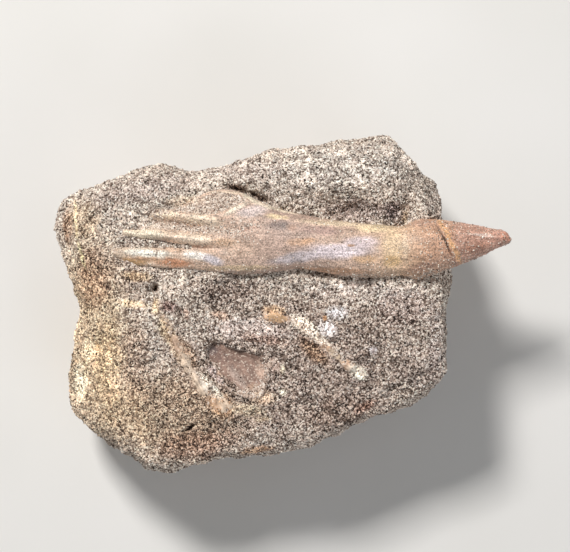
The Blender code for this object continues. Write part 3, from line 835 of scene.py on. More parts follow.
def make_sand(block, fossils):
    """The sand that the block's faces are made of, in a few pieces, and some larger pebbles in it."""
    rng = np.random.default_rng(SEEDS["sand"])
    covered = covered_by(fossils)

    def weight(middles, normals, _):
        on_top = smooth_step(*FACES_UP, normals[:, 2]) * (middles[:, 2] > TOP_LEVEL / 2)
        return (WALL_SHARE + (1 - WALL_SHARE) * on_top) * (middles[:, 2] > LOWEST_GRAIN)

    def places(count, radius, sink):
        at, normals = scatter(block, int(count * SPARE_PLACES), weight, rng)
        bare = np.array([not covered(place) for place in at])
        at, normals = at[bare][:count], normals[bare][:count]
        radii = radius[0] + (radius[1] - radius[0]) * rng.random(len(at)) ** SMALL_GRAINS
        return at - normals * (radii * sink)[:, None], radii

    at, radii = places(GRAINS, GRAIN_RADIUS, GRAIN_SINK)
    pieces = []
    for k in range(0, len(at), GRAINS_IN_PIECE):
        some = slice(k, k + GRAINS_IN_PIECE)
        name = f"sand_{k // GRAINS_IN_PIECE + 1}"
        pieces.append(make_grains(name, at[some], radii[some], stone_shape(0), rng))
    at, radii = places(PEBBLES, PEBBLE_RADIUS, PEBBLE_SINK)
    pieces.append(make_grains("pebbles", at, radii, stone_shape(1), rng, PEBBLE_FLATTEST, PEBBLE_DARKEST))
    return pieces


def make_fossil_grains(fossil, seed):
    """Fine sand that still sticks to a fossil, most of it where the fossil is sandy."""
    count, radius, bare_share = FOSSIL_GRAINS[fossil.name]
    rng = np.random.default_rng(seed)

    def weight(middles, normals, sandy):
        crown = CROWN_GRAINS * smooth_step(*CROWN_GRAINS_FROM, middles[:, 0])
        near_top = (middles[:, 2] > TOP_LEVEL - GRAINS_DOWN_TO) * (normals[:, 2] > GRAINS_OVERHANG)
        return (sandy + bare_share + crown) * near_top

    at, _ = scatter(fossil, count, weight, rng)
    radii = rng.uniform(*radius, count)
    return make_grains("sand_on_" + fossil.name, at, radii, stone_shape(0), rng, darkest=DARKEST_ON_FOSSIL)


def srgb(r, g, b):
    """A colour given as it looks on a screen, from 0 to 255, as linear values."""
    linear = [c / 255 / 12.92 if c < 11 else ((c / 255 + 0.055) / 1.055) ** 2.4 for c in (r, g, b)]
    return (*linear, 1.0)


def on_screen(stains):
    """Stains with their colours, given as they look on a screen, as linear values."""
    return [(*oval, srgb(*colour), strength) for *oval, colour, strength in stains]


# The range that most of a noise's values lie in, how far out an oval is full, and a depth without a limit
NOISE_RANGE = (0.3, 0.7)
FULL_WITHIN = 0.35
ENDLESS = 1e6


class Paint:
    """Builds one material's nodes; an input may be a plain value or another node's output."""

    def __init__(self, name):
        self.material = bpy.data.materials.new(name)
        self.material.use_nodes = True
        self.nodes = self.material.node_tree.nodes
        self.links = self.material.node_tree.links
        self.shader = self.nodes["Principled BSDF"]
        place = self.add("ShaderNodeTexCoord", {}, "Object")
        self.place = self.scaled(place, 1 / MM)

    def set(self, socket, value):
        """Links a socket to another node's output or gives it a plain value."""
        if isinstance(value, bpy.types.NodeSocket):
            self.links.new(value, socket)
        else:
            socket.default_value = value

    def add(self, kind, inputs, output=0, **settings):
        """A new node's output, by its name or its number."""
        node = self.nodes.new(kind)
        for key, value in settings.items():
            setattr(node, key, value)
        for key, value in inputs.items():
            self.set(node.inputs[key], value)
        return node.outputs[output]

    def finish(self, **inputs):
        """Sets the shader's sockets and gives the material."""
        for key, value in inputs.items():
            self.set(self.shader.inputs[key.replace("_", " ")], value)
        return self.material

    def number(self, operation, a, b):
        return self.add("ShaderNodeMath", {0: a, 1: b}, operation=operation)

    def times(self, a, b):
        return self.number("MULTIPLY", a, b)

    def vector(self, operation, a, b):
        return self.add("ShaderNodeVectorMath", {0: a, 1: b}, operation=operation)

    def scaled(self, vector, by):
        return self.add("ShaderNodeVectorMath", {0: vector, "Scale": by}, operation="SCALE")

    def part(self, vector, axis):
        return self.add("ShaderNodeSeparateXYZ", {"Vector": vector}, axis)

    def span(self, value, low, high, to_low=0.0, to_high=1.0):
        """Carries a number from one range to another, smoothly and within its ends."""
        ends = {"Value": value, "From Min": low, "From Max": high, "To Min": to_low, "To Max": to_high}
        return self.add("ShaderNodeMapRange", ends, interpolation_type="SMOOTHSTEP")

    def clouds(self, noise, darkest, lightest):
        """Noise carried to a range of its own."""
        return self.span(noise, *NOISE_RANGE, darkest, lightest)

    def mix(self, share, one, other, blend="MIX"):
        inputs = {0: share, 6: one, 7: other}
        return self.add("ShaderNodeMix", inputs, 2, data_type="RGBA", blend_type=blend)

    def noise(self, size, detail=3, place=None, output=0):
        inputs = {"Vector": place or self.place, "Scale": 1 / size, "Detail": detail}
        return self.add("ShaderNodeTexNoise", inputs, output)

    def cells(self, place, size, output):
        return self.add("ShaderNodeTexVoronoi", {"Vector": place, "Scale": 1 / size}, output)

    def ramp(self, value, stops):
        node = self.nodes.new("ShaderNodeValToRGB")
        elements = node.color_ramp.elements
        while len(elements) < len(stops):
            elements.new(1.0)
        for element, (position, colour) in zip(elements, stops):
            element.position = position
            element.color = colour
        self.set(node.inputs[0], value)
        return node.outputs[0]

    def warped(self, size, reach):
        """The place moved about by noise, so that a patch's edge wanders."""
        wander = self.vector("SUBTRACT", self.noise(size, output="Color"), (0.5, 0.5, 0.5))
        return self.vector("ADD", self.place, self.scaled(wander, 2 * reach))

    def patch(self, place, x, y, along, across, turn):
        """1 in an oval seen from above, falling to 0 at its rim."""
        local = self.turned(place, turn, (along, across, ENDLESS), (x, y, 0))
        off = self.add("ShaderNodeVectorMath", {0: local}, "Value", operation="LENGTH")
        return self.span(off, FULL_WITHIN, 1, 1, 0)

    def turned(self, place, turn, size, middle=(0, 0, 0)):
        """The place seen from a middle, turned by degrees and measured in the sizes given."""
        inputs = {"Vector": place, "Location": middle, "Scale": size}
        inputs["Rotation"] = (0, 0, math.radians(turn))
        return self.add("ShaderNodeMapping", inputs, vector_type="TEXTURE")

    def stained(self, colour, place, stains, blend="MIX"):
        """Lays ovals of colour over a colour, each with its own strength."""
        for x, y, along, across, turn, stain, strength in stains:
            share = self.times(self.patch(place, x, y, along, across, turn), strength)
            colour = self.mix(share, colour, stain, blend)
        return colour

    def bump(self, height, distance, normal=None):
        inputs = {"Height": height, "Distance": distance * MM, "Strength": 1.0}
        if normal is not None:
            inputs["Normal"] = normal
        return self.add("ShaderNodeBump", inputs)


# Tones of the sand from the darkest grains to the lightest
SAND_TONES = [
    (0, srgb(38, 26, 18)), (0.06, srgb(78, 63, 52)), (0.15, srgb(114, 98, 86)), (0.32, srgb(160, 144, 132)),
    (0.54, srgb(208, 192, 180)), (0.76, srgb(246, 234, 221)), (1, srgb(255, 252, 240)),
]
# About the mean colour of the sand
SAND_MIDDLE = srgb(204, 188, 175)
# How often a grain's hue turns over as its tone rises, and the hues that the tones are multiplied by
HUES_IN_TONE = 23.0
SAND_HUES = [
    (0, (1, 0.96, 0.90, 1)), (0.25, (1, 0.98, 0.95, 1)), (0.50, (1, 0.98, 0.97, 1)),
    (0.75, (1, 0.965, 0.95, 1)), (1, (0.965, 0.975, 1, 1)),
]
# Light and dark clouds in the sand: size, darkest and lightest
SAND_CLOUDS = [(5.0, 0.8, 1.14), (1.8, 0.74, 1.2), (0.7, 0.84, 1.15)]
# Heights between which the stains and painted shade of the top face begin
STAINED_ABOVE = (10.0, 15.0)
# The darkest tint that counts, the power of it that shifts a place's grains to other tones, and the power
# that is taken off a dark tint again, since the shift already darkens the place
DARKEST_TINT = 0.2
TONE_SHIFT = -0.7
TINT_LEFT = -0.75
FOSSIL_SAND_TONES = [
    (0, srgb(96, 76, 64)), (0.20, srgb(152, 128, 112)), (0.45, srgb(196, 172, 156)),
    (0.75, srgb(224, 206, 190)), (1, srgb(248, 240, 230)),
]

# Broad tones over the stone, some painted light and shade: x, y, reach along, reach across, turn in
# degrees, factor
STONE_TINTS_AND_PAINTED_LIGHT = [
    # Darker over the lower half: partly the stone's tone, partly painted shade on the face that slopes away
    # from the key lamp
    (2, -10.5, 29, 17, 8, (0.6, 0.57, 0.57)),
    (-17, -18, 16, 10, 0, (0.88, 0.8, 0.69)),
    # Painted shadow of the tooth on the stone just below it
    (-9, 1.6, 8, 3, 0, (0.43, 0.41, 0.41)),
    (-23.2, -9.5, 3.2, 9.5, 0, (0.82, 0.75, 0.7)),
    (-27.8, -9.5, 3.6, 8.5, 0, (1.2, 1.15, 1.06)),
    (-25, -19, 6, 6, 0, (1.18, 1.16, 1.1)),
    (-31, -6, 9, 22, 0, (1.07, 0.99, 0.82)),
    (-30, 4, 4, 7, 0, (0.77, 0.67, 0.63)),
    (-33, -11, 4.6, 14, 0, (1.2, 1.18, 1.18)),
    # The next two are painted shade in the valley above the shaft, on its slope turned away from the key
    # lamp
    (13, 14.6, 9.5, 2.4, -3, (0.52, 0.5, 0.52)),
    (17.8, 14.4, 2.4, 2.8, 0, (0.38, 0.36, 0.38)),
    (-24.5, 5, 4, 6, 0, (0.78, 0.75, 0.74)),
    (-22, 18, 12, 3, 12, (0.97, 0.95, 0.97)),
    # Painted light on the stone just below the shaft, where its slope faces the key lamp
    (12, 1.6, 13, 2.4, 0, (1.35, 1.38, 1.42)),
    # Lighter towards the upper edge: partly the stone's tone, partly painted light on the slope that faces
    # the key lamp
    (10, 21.6, 16, 4.4, 3, (1.09, 1.13, 1.17)),
    (-5, -4.4, 8, 2.9, -6, (1.9, 1.94, 2.04)),
    (24.6, -6, 1.8, 9, 0, (0.92, 0.92, 0.96)),
    (22, -10, 5, 5, 0, (0.74, 0.73, 0.74)),
    (24.4, 15, 2.2, 3.2, 0, (0.93, 0.93, 0.95)),
    (-5.8, 21, 8, 3, 0, (0.88, 0.87, 0.89)),
    (9.5, -17.5, 8.5, 3.6, 12, (0.66, 0.62, 0.6)),
    (-13.5, -22.6, 9.5, 3.4, 8, (0.64, 0.56, 0.54)),
    (19.5, -1, 6.5, 4.5, 0, (0.76, 0.73, 0.75)),
    (-31.8, 13.2, 4, 4.5, 0, (1.04, 0.97, 0.86)),
]
# Stains of the top face, and of the fossils below, and painted shade in its pits and crevices: x, y,
# reach along, reach across, turn in degrees, colour as it looks on a screen from 0 to 255, strength
STONE_STAINS_AND_PAINTED_SHADE = [
    (-23.6, -0.2, 3.4, 0.9, -8, (238, 208, 170), 0.6),
    (-20, -0.6, 0.9, 2, 0, (242, 216, 182), 0.85),
    (-18, -0.6, 2.2, 1.4, 0, (128, 104, 98), 0.9),
    (-15.2, -1.8, 0.6, 1.3, 15, (222, 190, 172), 0.7),
    # Painted shade in a small pit
    (-16.1, -1.4, 0.35, 1.2, 15, (70, 50, 44), 0.8),
    (-18.4, -4.4, 1.6, 2.6, 20, (214, 188, 148), 0.5),
    # Painted shade in a deep pit
    (-20.1, 2.3, 0.6, 0.9, 0, (58, 36, 22), 0.95),
    (-9.6, -2, 2.3, 1, -10, (178, 150, 132), 0.8),
    (3.6, -3.6, 3.8, 1.6, -35, (254, 236, 218), 0.9),
    (5.8, -5.5, 6.2, 1, -42, (248, 230, 214), 0.85),
    (7.4, -4.2, 2.1, 1.7, -35, (252, 240, 236), 0.9),
    (8.8, -1.7, 2.2, 1.5, 0, (240, 230, 228), 0.85),
    (14.6, -7.6, 1, 0.8, 0, (236, 222, 220), 0.7),
    (12.2, -11, 2.3, 1.3, -38, (255, 244, 228), 0.95),
    (-3, -5.8, 5.5, 1.2, -8, (128, 98, 82), 0.6),
    # Brown, and partly painted shade on the sliver's side turned away from the key lamp
    (5.2, -7.8, 4.2, 1.8, -40, (134, 108, 88), 0.9),
    (-9.6, -16.4, 3.2, 2.2, -40, (206, 164, 126), 0.7),
    (-5.4, -17, 4, 1.4, -6, (228, 206, 178), 0.6),
    (-3, -18.6, 2, 0.6, 10, (216, 194, 168), 0.7),
    (0.2, -10.6, 0.45, 1.3, 10, (244, 230, 206), 0.8),
    (0.3, -14.3, 0.8, 0.6, 0, (250, 240, 220), 0.9),
    (-14.9, -8.2, 1.4, 3.4, 25, (216, 180, 150), 0.5),
    (-10.6, -11.3, 0.9, 2.6, 40, (196, 174, 168), 0.7),
    (-11.4, -13.1, 4.2, 0.8, -46, (248, 234, 218), 0.85),
    (-17, -6.6, 1.4, 4.4, 22, (206, 176, 146), 0.6),
    (-18.6, -3.2, 1, 2.2, 15, (222, 192, 160), 0.6),
    (-1.2, -10, 1.6, 1.5, 0, (190, 166, 154), 0.7),
    (-2.9, -15.1, 2.8, 1.7, 0, (236, 206, 180), 0.85),
    (-1.2, -1.3, 2.6, 1.2, -5, (222, 184, 148), 0.85),
    (6.9, -2.6, 0.5, 0.6, 0, (190, 150, 112), 0.9),
    (-23, 4.2, 3.4, 1.2, -5, (180, 148, 108), 0.6),
    (-32.5, -13, 1.5, 4.2, 0, (255, 240, 214), 0.95),
    (-31.2, -8.4, 1, 4.4, -6, (252, 230, 198), 0.9),
    # Painted shade in the hollow of the left corner
    (-34.5, 12.2, 1.2, 4, 4, (164, 130, 106), 0.6),
    (-33, 13.4, 0.45, 4.4, 6, (250, 224, 184), 0.8),
    (-32, 7.6, 0.4, 3.2, 14, (240, 222, 176), 0.6),
    # The next three are painted shade in a crevice and in small pits
    (-14.6, -19.9, 1, 0.6, 30, (50, 34, 28), 0.9),
    (-27.6, 2.4, 0.9, 0.7, 0, (70, 56, 50), 0.8),
    (-31.3, 4.7, 0.4, 1, 20, (60, 40, 30), 0.8),
    (13.4, -16.6, 2.6, 1, 25, (136, 92, 74), 0.5),
    (-4, -23.6, 4, 0.8, 8, (190, 146, 108), 0.6),
    (-15.4, 16.2, 4.4, 1.2, 0, (238, 214, 190), 0.6),
    (3.9, 18.2, 0.5, 0.8, 15, (232, 216, 200), 0.85),
    # The next two are painted shade in the crevices above the tooth's margin, under the stone's overhang
    (-7.2, 18.2, 2.8, 0.55, -14, (84, 64, 52), 0.85),
    (-3.7, 16.9, 2.4, 0.65, -28, (72, 54, 43), 0.9),
    (19.8, 13.6, 0.7, 1.8, -14, (140, 116, 84), 0.6),
]


def sand_colour(paint, tone):
    """The colour of sand from a random tone, with the broad changes of tone, the stains and the painted
    light and shade of the top face.

    A stain sets the sand's tint, so that its grains still show. In a darker place more grains are dark.
    """
    # The broad tones hold painted light and shade besides the stone's own tone
    tints_and_painted_light = [(*oval, (*factor, 1), 1) for *oval, factor in STONE_TINTS_AND_PAINTED_LIGHT]
    tint = paint.stained((1, 1, 1, 1), paint.warped(3, 1.6), tints_and_painted_light, "MULTIPLY")
    for size, darkest, lightest in SAND_CLOUDS:
        tint = paint.scaled(tint, paint.clouds(paint.noise(size), darkest, lightest))
    stains = []
    for *oval, stain, strength in on_screen(STONE_STAINS_AND_PAINTED_SHADE):
        stains.append((*oval, [c / middle for c, middle in zip(stain, SAND_MIDDLE)], strength))
    on_top = paint.span(paint.part(paint.place, "Z"), *STAINED_ABOVE)
    tint = paint.mix(on_top, tint, paint.stained(tint, paint.warped(1, 0.5), stains))

    light = paint.number("MAXIMUM", paint.part(tint, "Y"), DARKEST_TINT)
    shifted = paint.number("POWER", tone, paint.number("POWER", light, TONE_SHIFT))
    hue = paint.number("FRACT", paint.times(tone, HUES_IN_TONE), 0)
    colour = paint.mix(1, paint.ramp(shifted, SAND_TONES), paint.ramp(hue, SAND_HUES), "MULTIPLY")
    left = paint.number("POWER", paint.number("MINIMUM", light, 1), TINT_LEFT)
    return paint.mix(1, colour, paint.scaled(tint, left), "MULTIPLY")


# Sizes of the small cells that stand for grains in the stone between the sand's meshes
COARSE_CELLS = 0.3
FINE_CELLS = 0.2


def cell_tone(paint):
    """A random tone for each small cell, of two sizes, and each place's way from a cell's middle."""
    place = paint.warped(0.5, 0.08)
    coarse = paint.part(paint.cells(place, COARSE_CELLS, "Color"), "X")
    fine = paint.part(paint.cells(place, FINE_CELLS, "Color"), "Y")
    pick = paint.number("GREATER_THAN", paint.noise(0.8), 0.52)
    tone = paint.add("ShaderNodeMix", {0: pick, 2: coarse, 3: fine}, data_type="FLOAT")
    return tone, paint.cells(place, COARSE_CELLS, "Distance")


SAND_DULLNESS = 0.95


def sanded(paint, colour, roughness):
    """Lays sand over a colour and its roughness where the piece is sandy, with a ragged edge."""
    sandy = paint.add("ShaderNodeAttribute", {}, "Fac", attribute_name="sandy")
    ragged = paint.clouds(paint.noise(0.7, 4), -0.35, 0.35)
    share = paint.span(paint.number("ADD", sandy, ragged), 0.4, 0.6, 0, 0.92)
    tone, _ = cell_tone(paint)
    colour = paint.mix(share, colour, paint.ramp(tone, FOSSIL_SAND_TONES))
    return colour, paint.number("MAXIMUM", roughness, paint.times(share, SAND_DULLNESS))


def stone_material():
    """Packed grains of every tone with dark gaps between them."""
    paint = Paint("stone")
    tone, off = cell_tone(paint)
    colour = sand_colour(paint, tone)
    colour = paint.mix(paint.span(off, 0.6, 0.9, 0, 0.35), colour, srgb(64, 50, 42))
    normal = paint.bump(paint.number("SUBTRACT", 1, off), 0.16)
    normal = paint.bump(paint.noise(0.12), 0.03, normal)
    return paint.finish(Base_Color=colour, Roughness=paint.span(tone, 0.75, 1, 0.95, 0.6), Normal=normal)


def grain_material():
    """Loose-looking grains of quartz and phosphate, each in its own tone."""
    paint = Paint("grain")
    tone = paint.add("ShaderNodeAttribute", {}, "Fac", attribute_name="tone")
    colour = sand_colour(paint, tone)
    colour = paint.scaled(colour, paint.span(paint.noise(0.1), 0.35, 0.65, 0.85, 1.1))
    normal = paint.bump(paint.noise(0.08), 0.03)
    return paint.finish(Base_Color=colour, Roughness=paint.span(tone, 0.7, 1, 0.9, 0.45), Normal=normal)


TOOTH_FROM_TO = (-27.0, 36.7)
TOOTH_TONES = [
    (0, srgb(216, 194, 172)), (0.22, srgb(216, 186, 164)), (0.42, srgb(200, 172, 157)),
    (0.60, srgb(210, 180, 160)), (0.72, srgb(222, 188, 158)), (0.78, srgb(208, 166, 138)),
    (0.845, srgb(204, 160, 134)), (0.86, srgb(194, 152, 132)), (1, srgb(202, 154, 136)),
]
# Stains of the tooth, some partly painted sheen, highlight or shade: x, y, reach along, reach across, turn
# in degrees, colour, strength
TOOTH_STAINS_AND_PAINTED_LIGHT = [
    (-17, 6.3, 3.8, 0.9, -3, (216, 156, 120), 0.9),
    (-21.8, 6.9, 4, 0.6, -4, (194, 150, 114), 0.65),
    (-20.6, 9.6, 3.4, 0.9, -4, (104, 98, 106), 0.85),
    # Brown in the furrow under the second finger's crest: partly its colour, partly painted shade
    (-14.6, 9.1, 3.6, 0.6, -3, (150, 116, 98), 0.8),
    (-23.6, 6.5, 3.4, 0.7, -6, (196, 154, 104), 0.75),
    (-24, 5.9, 3, 0.3, -6, (226, 196, 142), 0.7),
    # Under the third finger's crest: partly its colour, partly painted shade on the furrow's slope
    (-15.6, 12.5, 4.6, 0.5, -7, (206, 172, 150), 0.6),
    # The next three are the pale crest and patches of the root's lower side: partly their colour, partly
    # painted sheen
    (-21.4, 7.9, 4.8, 0.9, -4, (255, 250, 236), 0.95),
    (-13.6, 7.6, 2.9, 1, -12, (250, 242, 232), 0.9),
    (-11, 6.8, 2.4, 1, -20, (222, 214, 220), 0.85),
    (-19.8, 7.9, 0.18, 1.2, 0, (140, 116, 98), 0.8),
    (-21.8, 11, 4.8, 1.2, -5, (255, 238, 212), 0.95),
    (-14.2, 10, 4.6, 1.4, -6, (255, 232, 208), 1),
    # Brown line under the second finger's crest: partly its colour, partly painted shade
    (-13.4, 8.9, 3.6, 0.25, -5, (182, 128, 102), 0.4),
    (-18.4, 14, 3.2, 0.9, -4, (255, 232, 204), 0.95),
    (-12.9, 13, 4.4, 1.3, -6, (255, 232, 206), 1),
    # Brown under the third finger's crest: partly its colour, partly painted shade on the furrow's slope
    (-14.6, 12.3, 4.6, 0.4, -6, (216, 166, 130), 0.6),
    (-7.2, 14.9, 2.9, 0.5, 27, (250, 236, 214), 0.9),
    (-8.6, 17.5, 3.6, 0.45, -2, (240, 220, 194), 0.7),
    (-4.8, 16.5, 2.4, 0.5, -28, (250, 236, 212), 0.9),
    (-1, 15, 5.2, 0.45, -13, (250, 234, 208), 0.8),
    (-4.6, 14.5, 3.6, 1.2, 10, (222, 206, 202), 0.75),
    (-9, 9.6, 3.4, 1, 0, (222, 184, 148), 0.5),
    (-6.2, 8.6, 3.6, 2, 0, (212, 182, 160), 0.5),
    (-0.4, 12.2, 2.8, 1.1, 4, (134, 118, 112), 0.85),
    (-0.7, 13.6, 2.4, 0.55, -5, (246, 220, 178), 0.8),
    (-5.4, 11.6, 2.8, 0.35, 10, (160, 124, 108), 0.6),
    (2.6, 9.6, 2.6, 0.8, 0, (214, 170, 134), 0.5),
    (-6.6, 5.5, 7.5, 0.6, 1, (224, 198, 164), 0.8),
    # The next three are the pale lavender band along the shaft: partly its colour, partly painted sheen
    (2.3, 7.1, 5.6, 1.1, 8, (206, 196, 200), 0.8),
    (9, 8.2, 7.6, 1.7, 2, (228, 214, 218), 0.9),
    (12.6, 9.6, 3.6, 1.3, 0, (232, 214, 216), 0.85),
    (1.6, 11.9, 1.4, 0.8, 0, (172, 138, 118), 0.6),
    (4.4, 9.8, 2, 0.5, 4, (204, 160, 124), 0.6),
    (11.1, 9.1, 1, 0.32, 0, (184, 142, 108), 0.85),
    (6.2, 11.4, 4.4, 0.9, -4, (186, 154, 144), 0.75),
    # The next two are the cream upper edge of the shaft: partly its colour, partly painted light on the
    # side facing the key lamp
    (11, 12.5, 11, 0.6, -3, (244, 222, 190), 0.8),
    (14.8, 11.8, 4.2, 0.9, -2, (246, 222, 182), 0.8),
    (13.2, 6.9, 2.8, 0.8, 0, (206, 168, 130), 0.7),
    (8, 5.1, 8.4, 0.75, -2, (208, 162, 128), 0.7),
    (17.6, 8.8, 2.2, 4.4, 0, (240, 210, 172), 0.8),
    (17.4, 6.6, 2, 1.2, 0, (220, 180, 126), 0.6),
    (19.6, 8.8, 0.5, 3.8, 4, (248, 226, 196), 0.4),
    (22.2, 5.6, 3.6, 1, 15, (160, 126, 110), 0.65),
    (22, 12.6, 2.6, 0.8, 5, (196, 158, 140), 0.6),
    # Whitish line on the crown's ridge: partly its colour, partly painted highlight
    (31.4, 10.7, 3, 0.25, -3, (242, 220, 208), 0.75),
    (30.6, 8.6, 3.4, 1.1, 14, (180, 126, 100), 0.6),
    (35.7, 10.5, 1.3, 1.4, 0, (206, 148, 124), 0.85),
]
# The break's dark line and the orange band beside it: colour, reach across and strength, the band's way
# off the line, and how far each stretch of them reaches along
BREAK_LINE = ((48, 28, 20), 0.24, 0.9)
BREAK_BAND = ((232, 180, 132), 0.6, 0.85)
BREAK_BAND_OFF = (0.75, 0.2)
BREAK_OVERLAP = 0.85
# How dark the break is along each stretch of its line
BREAK_SHADES = [0.15, 0.55, 1.0, 1.0, 0.3]


def break_stains():
    """Stains along the break across the crown: a band of orange beside it and a dark line in it."""
    bands, lines = [], []
    off_x, off_y = BREAK_BAND_OFF
    orange, band_width, band_strength = BREAK_BAND
    dark, line_width, darkest = BREAK_LINE
    for (x1, y1), (x2, y2), shade in zip(CROWN_BREAK, CROWN_BREAK[1:], BREAK_SHADES):
        x, y = (x1 + x2) / 2, (y1 + y2) / 2
        reach = math.hypot(x2 - x1, y2 - y1) * BREAK_OVERLAP
        turn = math.degrees(math.atan2(y2 - y1, x2 - x1))
        bands.append((x + off_x, y + off_y, reach, band_width, turn, orange, band_strength))
        lines.append((x, y, reach, line_width, turn, dark, darkest * shade))
    return bands, lines


# Size of the cells that the tooth's light and dark spots are in
TOOTH_SPOTS = 0.36


def tooth_material():
    """Dentine and enamel: tan with paler and greyer bands, fine streaks and specks; some stains are partly
    painted sheen, highlight and shade.
    """
    paint = Paint("tooth")
    place = paint.warped(1.4, 0.45)
    x = paint.part(place, "X")
    low, high = TOOTH_FROM_TO
    along = paint.add("ShaderNodeMapRange", {"Value": x, "From Min": low, "From Max": high})
    colour = paint.ramp(along, TOOTH_TONES)
    bands, lines = break_stains()
    colour = paint.stained(colour, place, on_screen(TOOTH_STAINS_AND_PAINTED_LIGHT + bands))
    drawn = paint.add("ShaderNodeMapping", {"Vector": paint.place, "Scale": (0.12, 1.6, 1.6)})
    grain = paint.noise(1, 5, drawn)
    mottle = paint.noise(1.6, 5)
    specks = paint.noise(0.24, 2)
    shade = paint.times(paint.clouds(grain, 0.8, 1.1), paint.clouds(mottle, 0.82, 1.12))
    colour = paint.scaled(colour, paint.times(shade, paint.span(specks, 0.34, 0.66, 0.62, 1.34)))

    spotty = paint.number("MAXIMUM", paint.span(x, 14, 24, 0.25, 0.8), paint.span(x, -6, 2, 0.65, 0))
    spot = paint.span(paint.cells(paint.place, TOOTH_SPOTS, "Distance"), 0.2, 0.4, 1, 0)
    kind = paint.part(paint.cells(paint.place, TOOTH_SPOTS, "Color"), "X")
    for chosen, dot in ((paint.number("GREATER_THAN", kind, 0.83), srgb(246, 228, 206)),
                        (paint.number("LESS_THAN", kind, 0.17), srgb(124, 88, 70))):
        colour = paint.mix(paint.times(paint.times(spot, chosen), spotty), colour, dot)
    colour = paint.stained(colour, paint.warped(0.5, 0.06), on_screen(lines))

    normal = paint.bump(paint.noise(0.22, 4), 0.08, paint.bump(grain, 0.05))
    colour, roughness = sanded(paint, colour, paint.clouds(mottle, 0.36, 0.58))
    return paint.finish(Base_Color=colour, Roughness=roughness, Normal=normal, Specular_IOR_Level=0.45)


PLATE_STAINS_AND_PAINTED_SHADOW = [
    (-9.8, -8.6, 2.4, 1.6, -20, (132, 106, 96), 0.75),
    (-7, -12, 3.4, 0.9, -50, (190, 170, 158), 0.6),
    (-4.4, -14, 1.8, 1.5, 0, (204, 170, 144), 0.7),
    (-2.8, -10.6, 1.9, 2.4, 0, (194, 166, 148), 0.8),
    (-10.2, -10.8, 2.6, 0.22, -52, (236, 206, 178), 0.85),
    (-11.2, -7.6, 1.4, 1, 20, (138, 120, 118), 0.7),
    # Painted shadow cast by the sand's ledge along the plate's upper edge
    (-5, -8.3, 4.8, 0.7, -12, (108, 84, 72), 0.7),
]
RIM_STAINS = [
    (-20, 1.2, 1.2, 1.4, 0, (240, 224, 190), 0.8),
    (-18.6, -1.2, 1, 1.4, 0, (196, 166, 152), 0.7),
    (-16.6, -6.4, 1.6, 2.6, 12, (188, 156, 132), 0.9),
    (-14, -10.6, 0.9, 2.6, 30, (228, 206, 184), 0.9),
    (-11.6, -13.6, 3, 1, -46, (250, 236, 220), 0.9),
    (-11, -16.4, 2.4, 1.8, -50, (208, 164, 128), 0.8),
    (-9.6, -17.8, 1.6, 1, 0, (228, 206, 178), 0.6),
]
SLIVER_STAINS = [
    (-0.9, -2.3, 2.4, 1.2, -10, (226, 184, 140), 0.9),
    (2.6, -3.4, 1.6, 0.8, -30, (242, 230, 216), 0.8),
    (5.2, -5.4, 2, 1, -45, (204, 170, 138), 0.8),
    (8.6, -8.4, 2, 1, -40, (226, 204, 176), 0.8),
    (12.2, -11, 2.3, 1.3, -35, (255, 244, 226), 0.95),
]


# The three bones: name, colour as it looks on a screen, stains (on the plate with a painted shadow),
# direction of the striations in degrees
BONE_LOOKS = [
    ("rim", (220, 196, 172), RIM_STAINS, -60),
    ("sliver", (200, 166, 140), SLIVER_STAINS, -40),
    ("plate", (156, 127, 113), PLATE_STAINS_AND_PAINTED_SHADOW, PLATE_STREAK_TURN),
]
# Length, width and depth of a striation in the bones' colour
BONE_STREAK = (6, 0.38, 1)


def bone_material(name, base, stains, streak_turn):
    """Fossil bone: a base colour with stains, on the plate also a painted shadow, striations along one
    direction and light and dark flecks.
    """
    paint = Paint(name)
    colour = paint.stained(srgb(*base), paint.warped(1, 0.4), on_screen(stains))
    grain = paint.noise(1, 5, paint.turned(paint.place, streak_turn, BONE_STREAK))
    mottle = paint.noise(1.1, 5)
    shade = paint.times(paint.clouds(grain, 0.76, 1.18), paint.clouds(mottle, 0.7, 1.2))
    colour = paint.scaled(colour, shade)
    flecks = paint.noise(0.3, 2)
    colour = paint.mix(paint.span(flecks, 0.56, 0.7, 0, 0.8), colour, srgb(240, 222, 204))
    colour = paint.mix(paint.span(flecks, 0.3, 0.44, 0.65, 0), colour, srgb(96, 72, 60))
    normal = paint.bump(paint.noise(0.25, 4), 0.1, paint.bump(grain, 0.1))
    colour, roughness = sanded(paint, colour, paint.clouds(mottle, 0.5, 0.8))
    return paint.finish(Base_Color=colour, Roughness=roughness, Normal=normal)


def floor_material():
    """Plain pale floor with a barely uneven tone."""
    paint = Paint("floor")
    shade = paint.clouds(paint.noise(40, 2), 0, 1)
    colour = paint.mix(shade, srgb(226, 224, 220), srgb(230, 228, 225))
    return paint.finish(Base_Color=colour, Roughness=0.9)


def dress(piece, material, slot, *nodes):
    """Gives a piece its material and ties it to the frame."""
    piece.data.materials.clear()
    piece.data.materials.append(material)
    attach(piece, "root")
    if nodes:
        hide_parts(*nodes)


def make_floor():
    """A plain square floor under the block's underside."""
    corners = [(x * FLOOR_HALF, y * FLOOR_HALF, 0) for x, y in ((-1, -1), (1, -1), (1, 1), (-1, 1))]
    floor = new_piece("floor", corners, [(0, 1, 2, 3)])
    floor.data.materials.append(floor_material())


# Where the lamps point, in metres
LAMPS_AIM = (0, 0, 0.02)


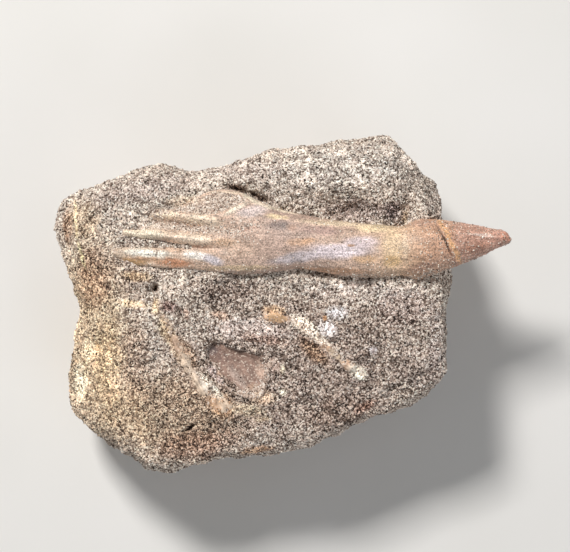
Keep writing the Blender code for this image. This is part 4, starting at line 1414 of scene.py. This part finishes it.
def make_lamp(name, azimuth, elevation, distance, size, power, colour):
    """A soft square lamp that faces the block from a direction in degrees."""
    lamp = bpy.data.lights.new(name, "AREA")
    lamp.size = size
    lamp.energy = power
    lamp.color = colour
    a, e = math.radians(azimuth), math.radians(elevation)
    place = Vector((math.cos(a) * math.cos(e), math.sin(a) * math.cos(e), math.sin(e))) * distance
    made = placed(name, lamp)
    made.location = place
    made.rotation_euler = (Vector(LAMPS_AIM) - place).to_track_quat("-Z", "Y").to_euler()


def make_light():
    """A warm key lamp from the upper left, a cool fill from the lower right and a weak even sky."""
    make_lamp("key", 122, 50, distance=0.6, size=0.12, power=3.5, colour=(1, 0.985, 0.965))
    make_lamp("fill", -50, 28, distance=0.7, size=0.5, power=1.5, colour=(0.93, 0.96, 1))
    world = bpy.data.worlds.new("studio")
    world.use_nodes = True
    background = world.node_tree.nodes["Background"]
    background.inputs["Color"].default_value = (0.96, 0.98, 1.0, 1.0)
    background.inputs["Strength"].default_value = 0.2
    bpy.context.scene.world = world


def make_camera():
    """Looks straight down on the block, with the photograph's width at the level of the tooth."""
    camera = bpy.data.cameras.new("camera")
    camera.sensor_width = SENSOR_WIDTH
    camera.lens = SENSOR_WIDTH * CAMERA_DISTANCE / PHOTO_WIDTH
    camera.clip_start = 0.01
    made = placed("camera", camera)
    made.location = Vector((*PHOTO_MIDDLE, PHOTO_LEVEL + CAMERA_DISTANCE)) * MM
    bpy.context.scene.camera = made


def main():
    bpy.context.scene.view_settings.view_transform = "Standard"
    block = make_block()
    tooth = make_tooth()
    bones = [make_scrap("rim_bone", BONE_RIM), make_scrap("sliver_bone", BONE_SLIVER), make_plate()]
    dress(block, stone_material(), "sandstone", "stone_block")
    dress(tooth, tooth_material(), "fossil_tooth", "rostral_tooth")
    for bone, (name, *looks) in zip(bones, BONE_LOOKS):
        dress(bone, bone_material(name, *looks), "fossil_bone", "bone_" + name)
    grain = grain_material()
    fossils = [tooth, *bones]
    for sand in make_sand(block, fossils):
        dress(sand, grain, "sandstone")
    for seed, fossil in enumerate(fossils, SEEDS["fossil_grains"]):
        dress(make_fossil_grains(fossil, seed), grain, "sandstone")
    make_floor()
    make_light()
    make_camera()


main()
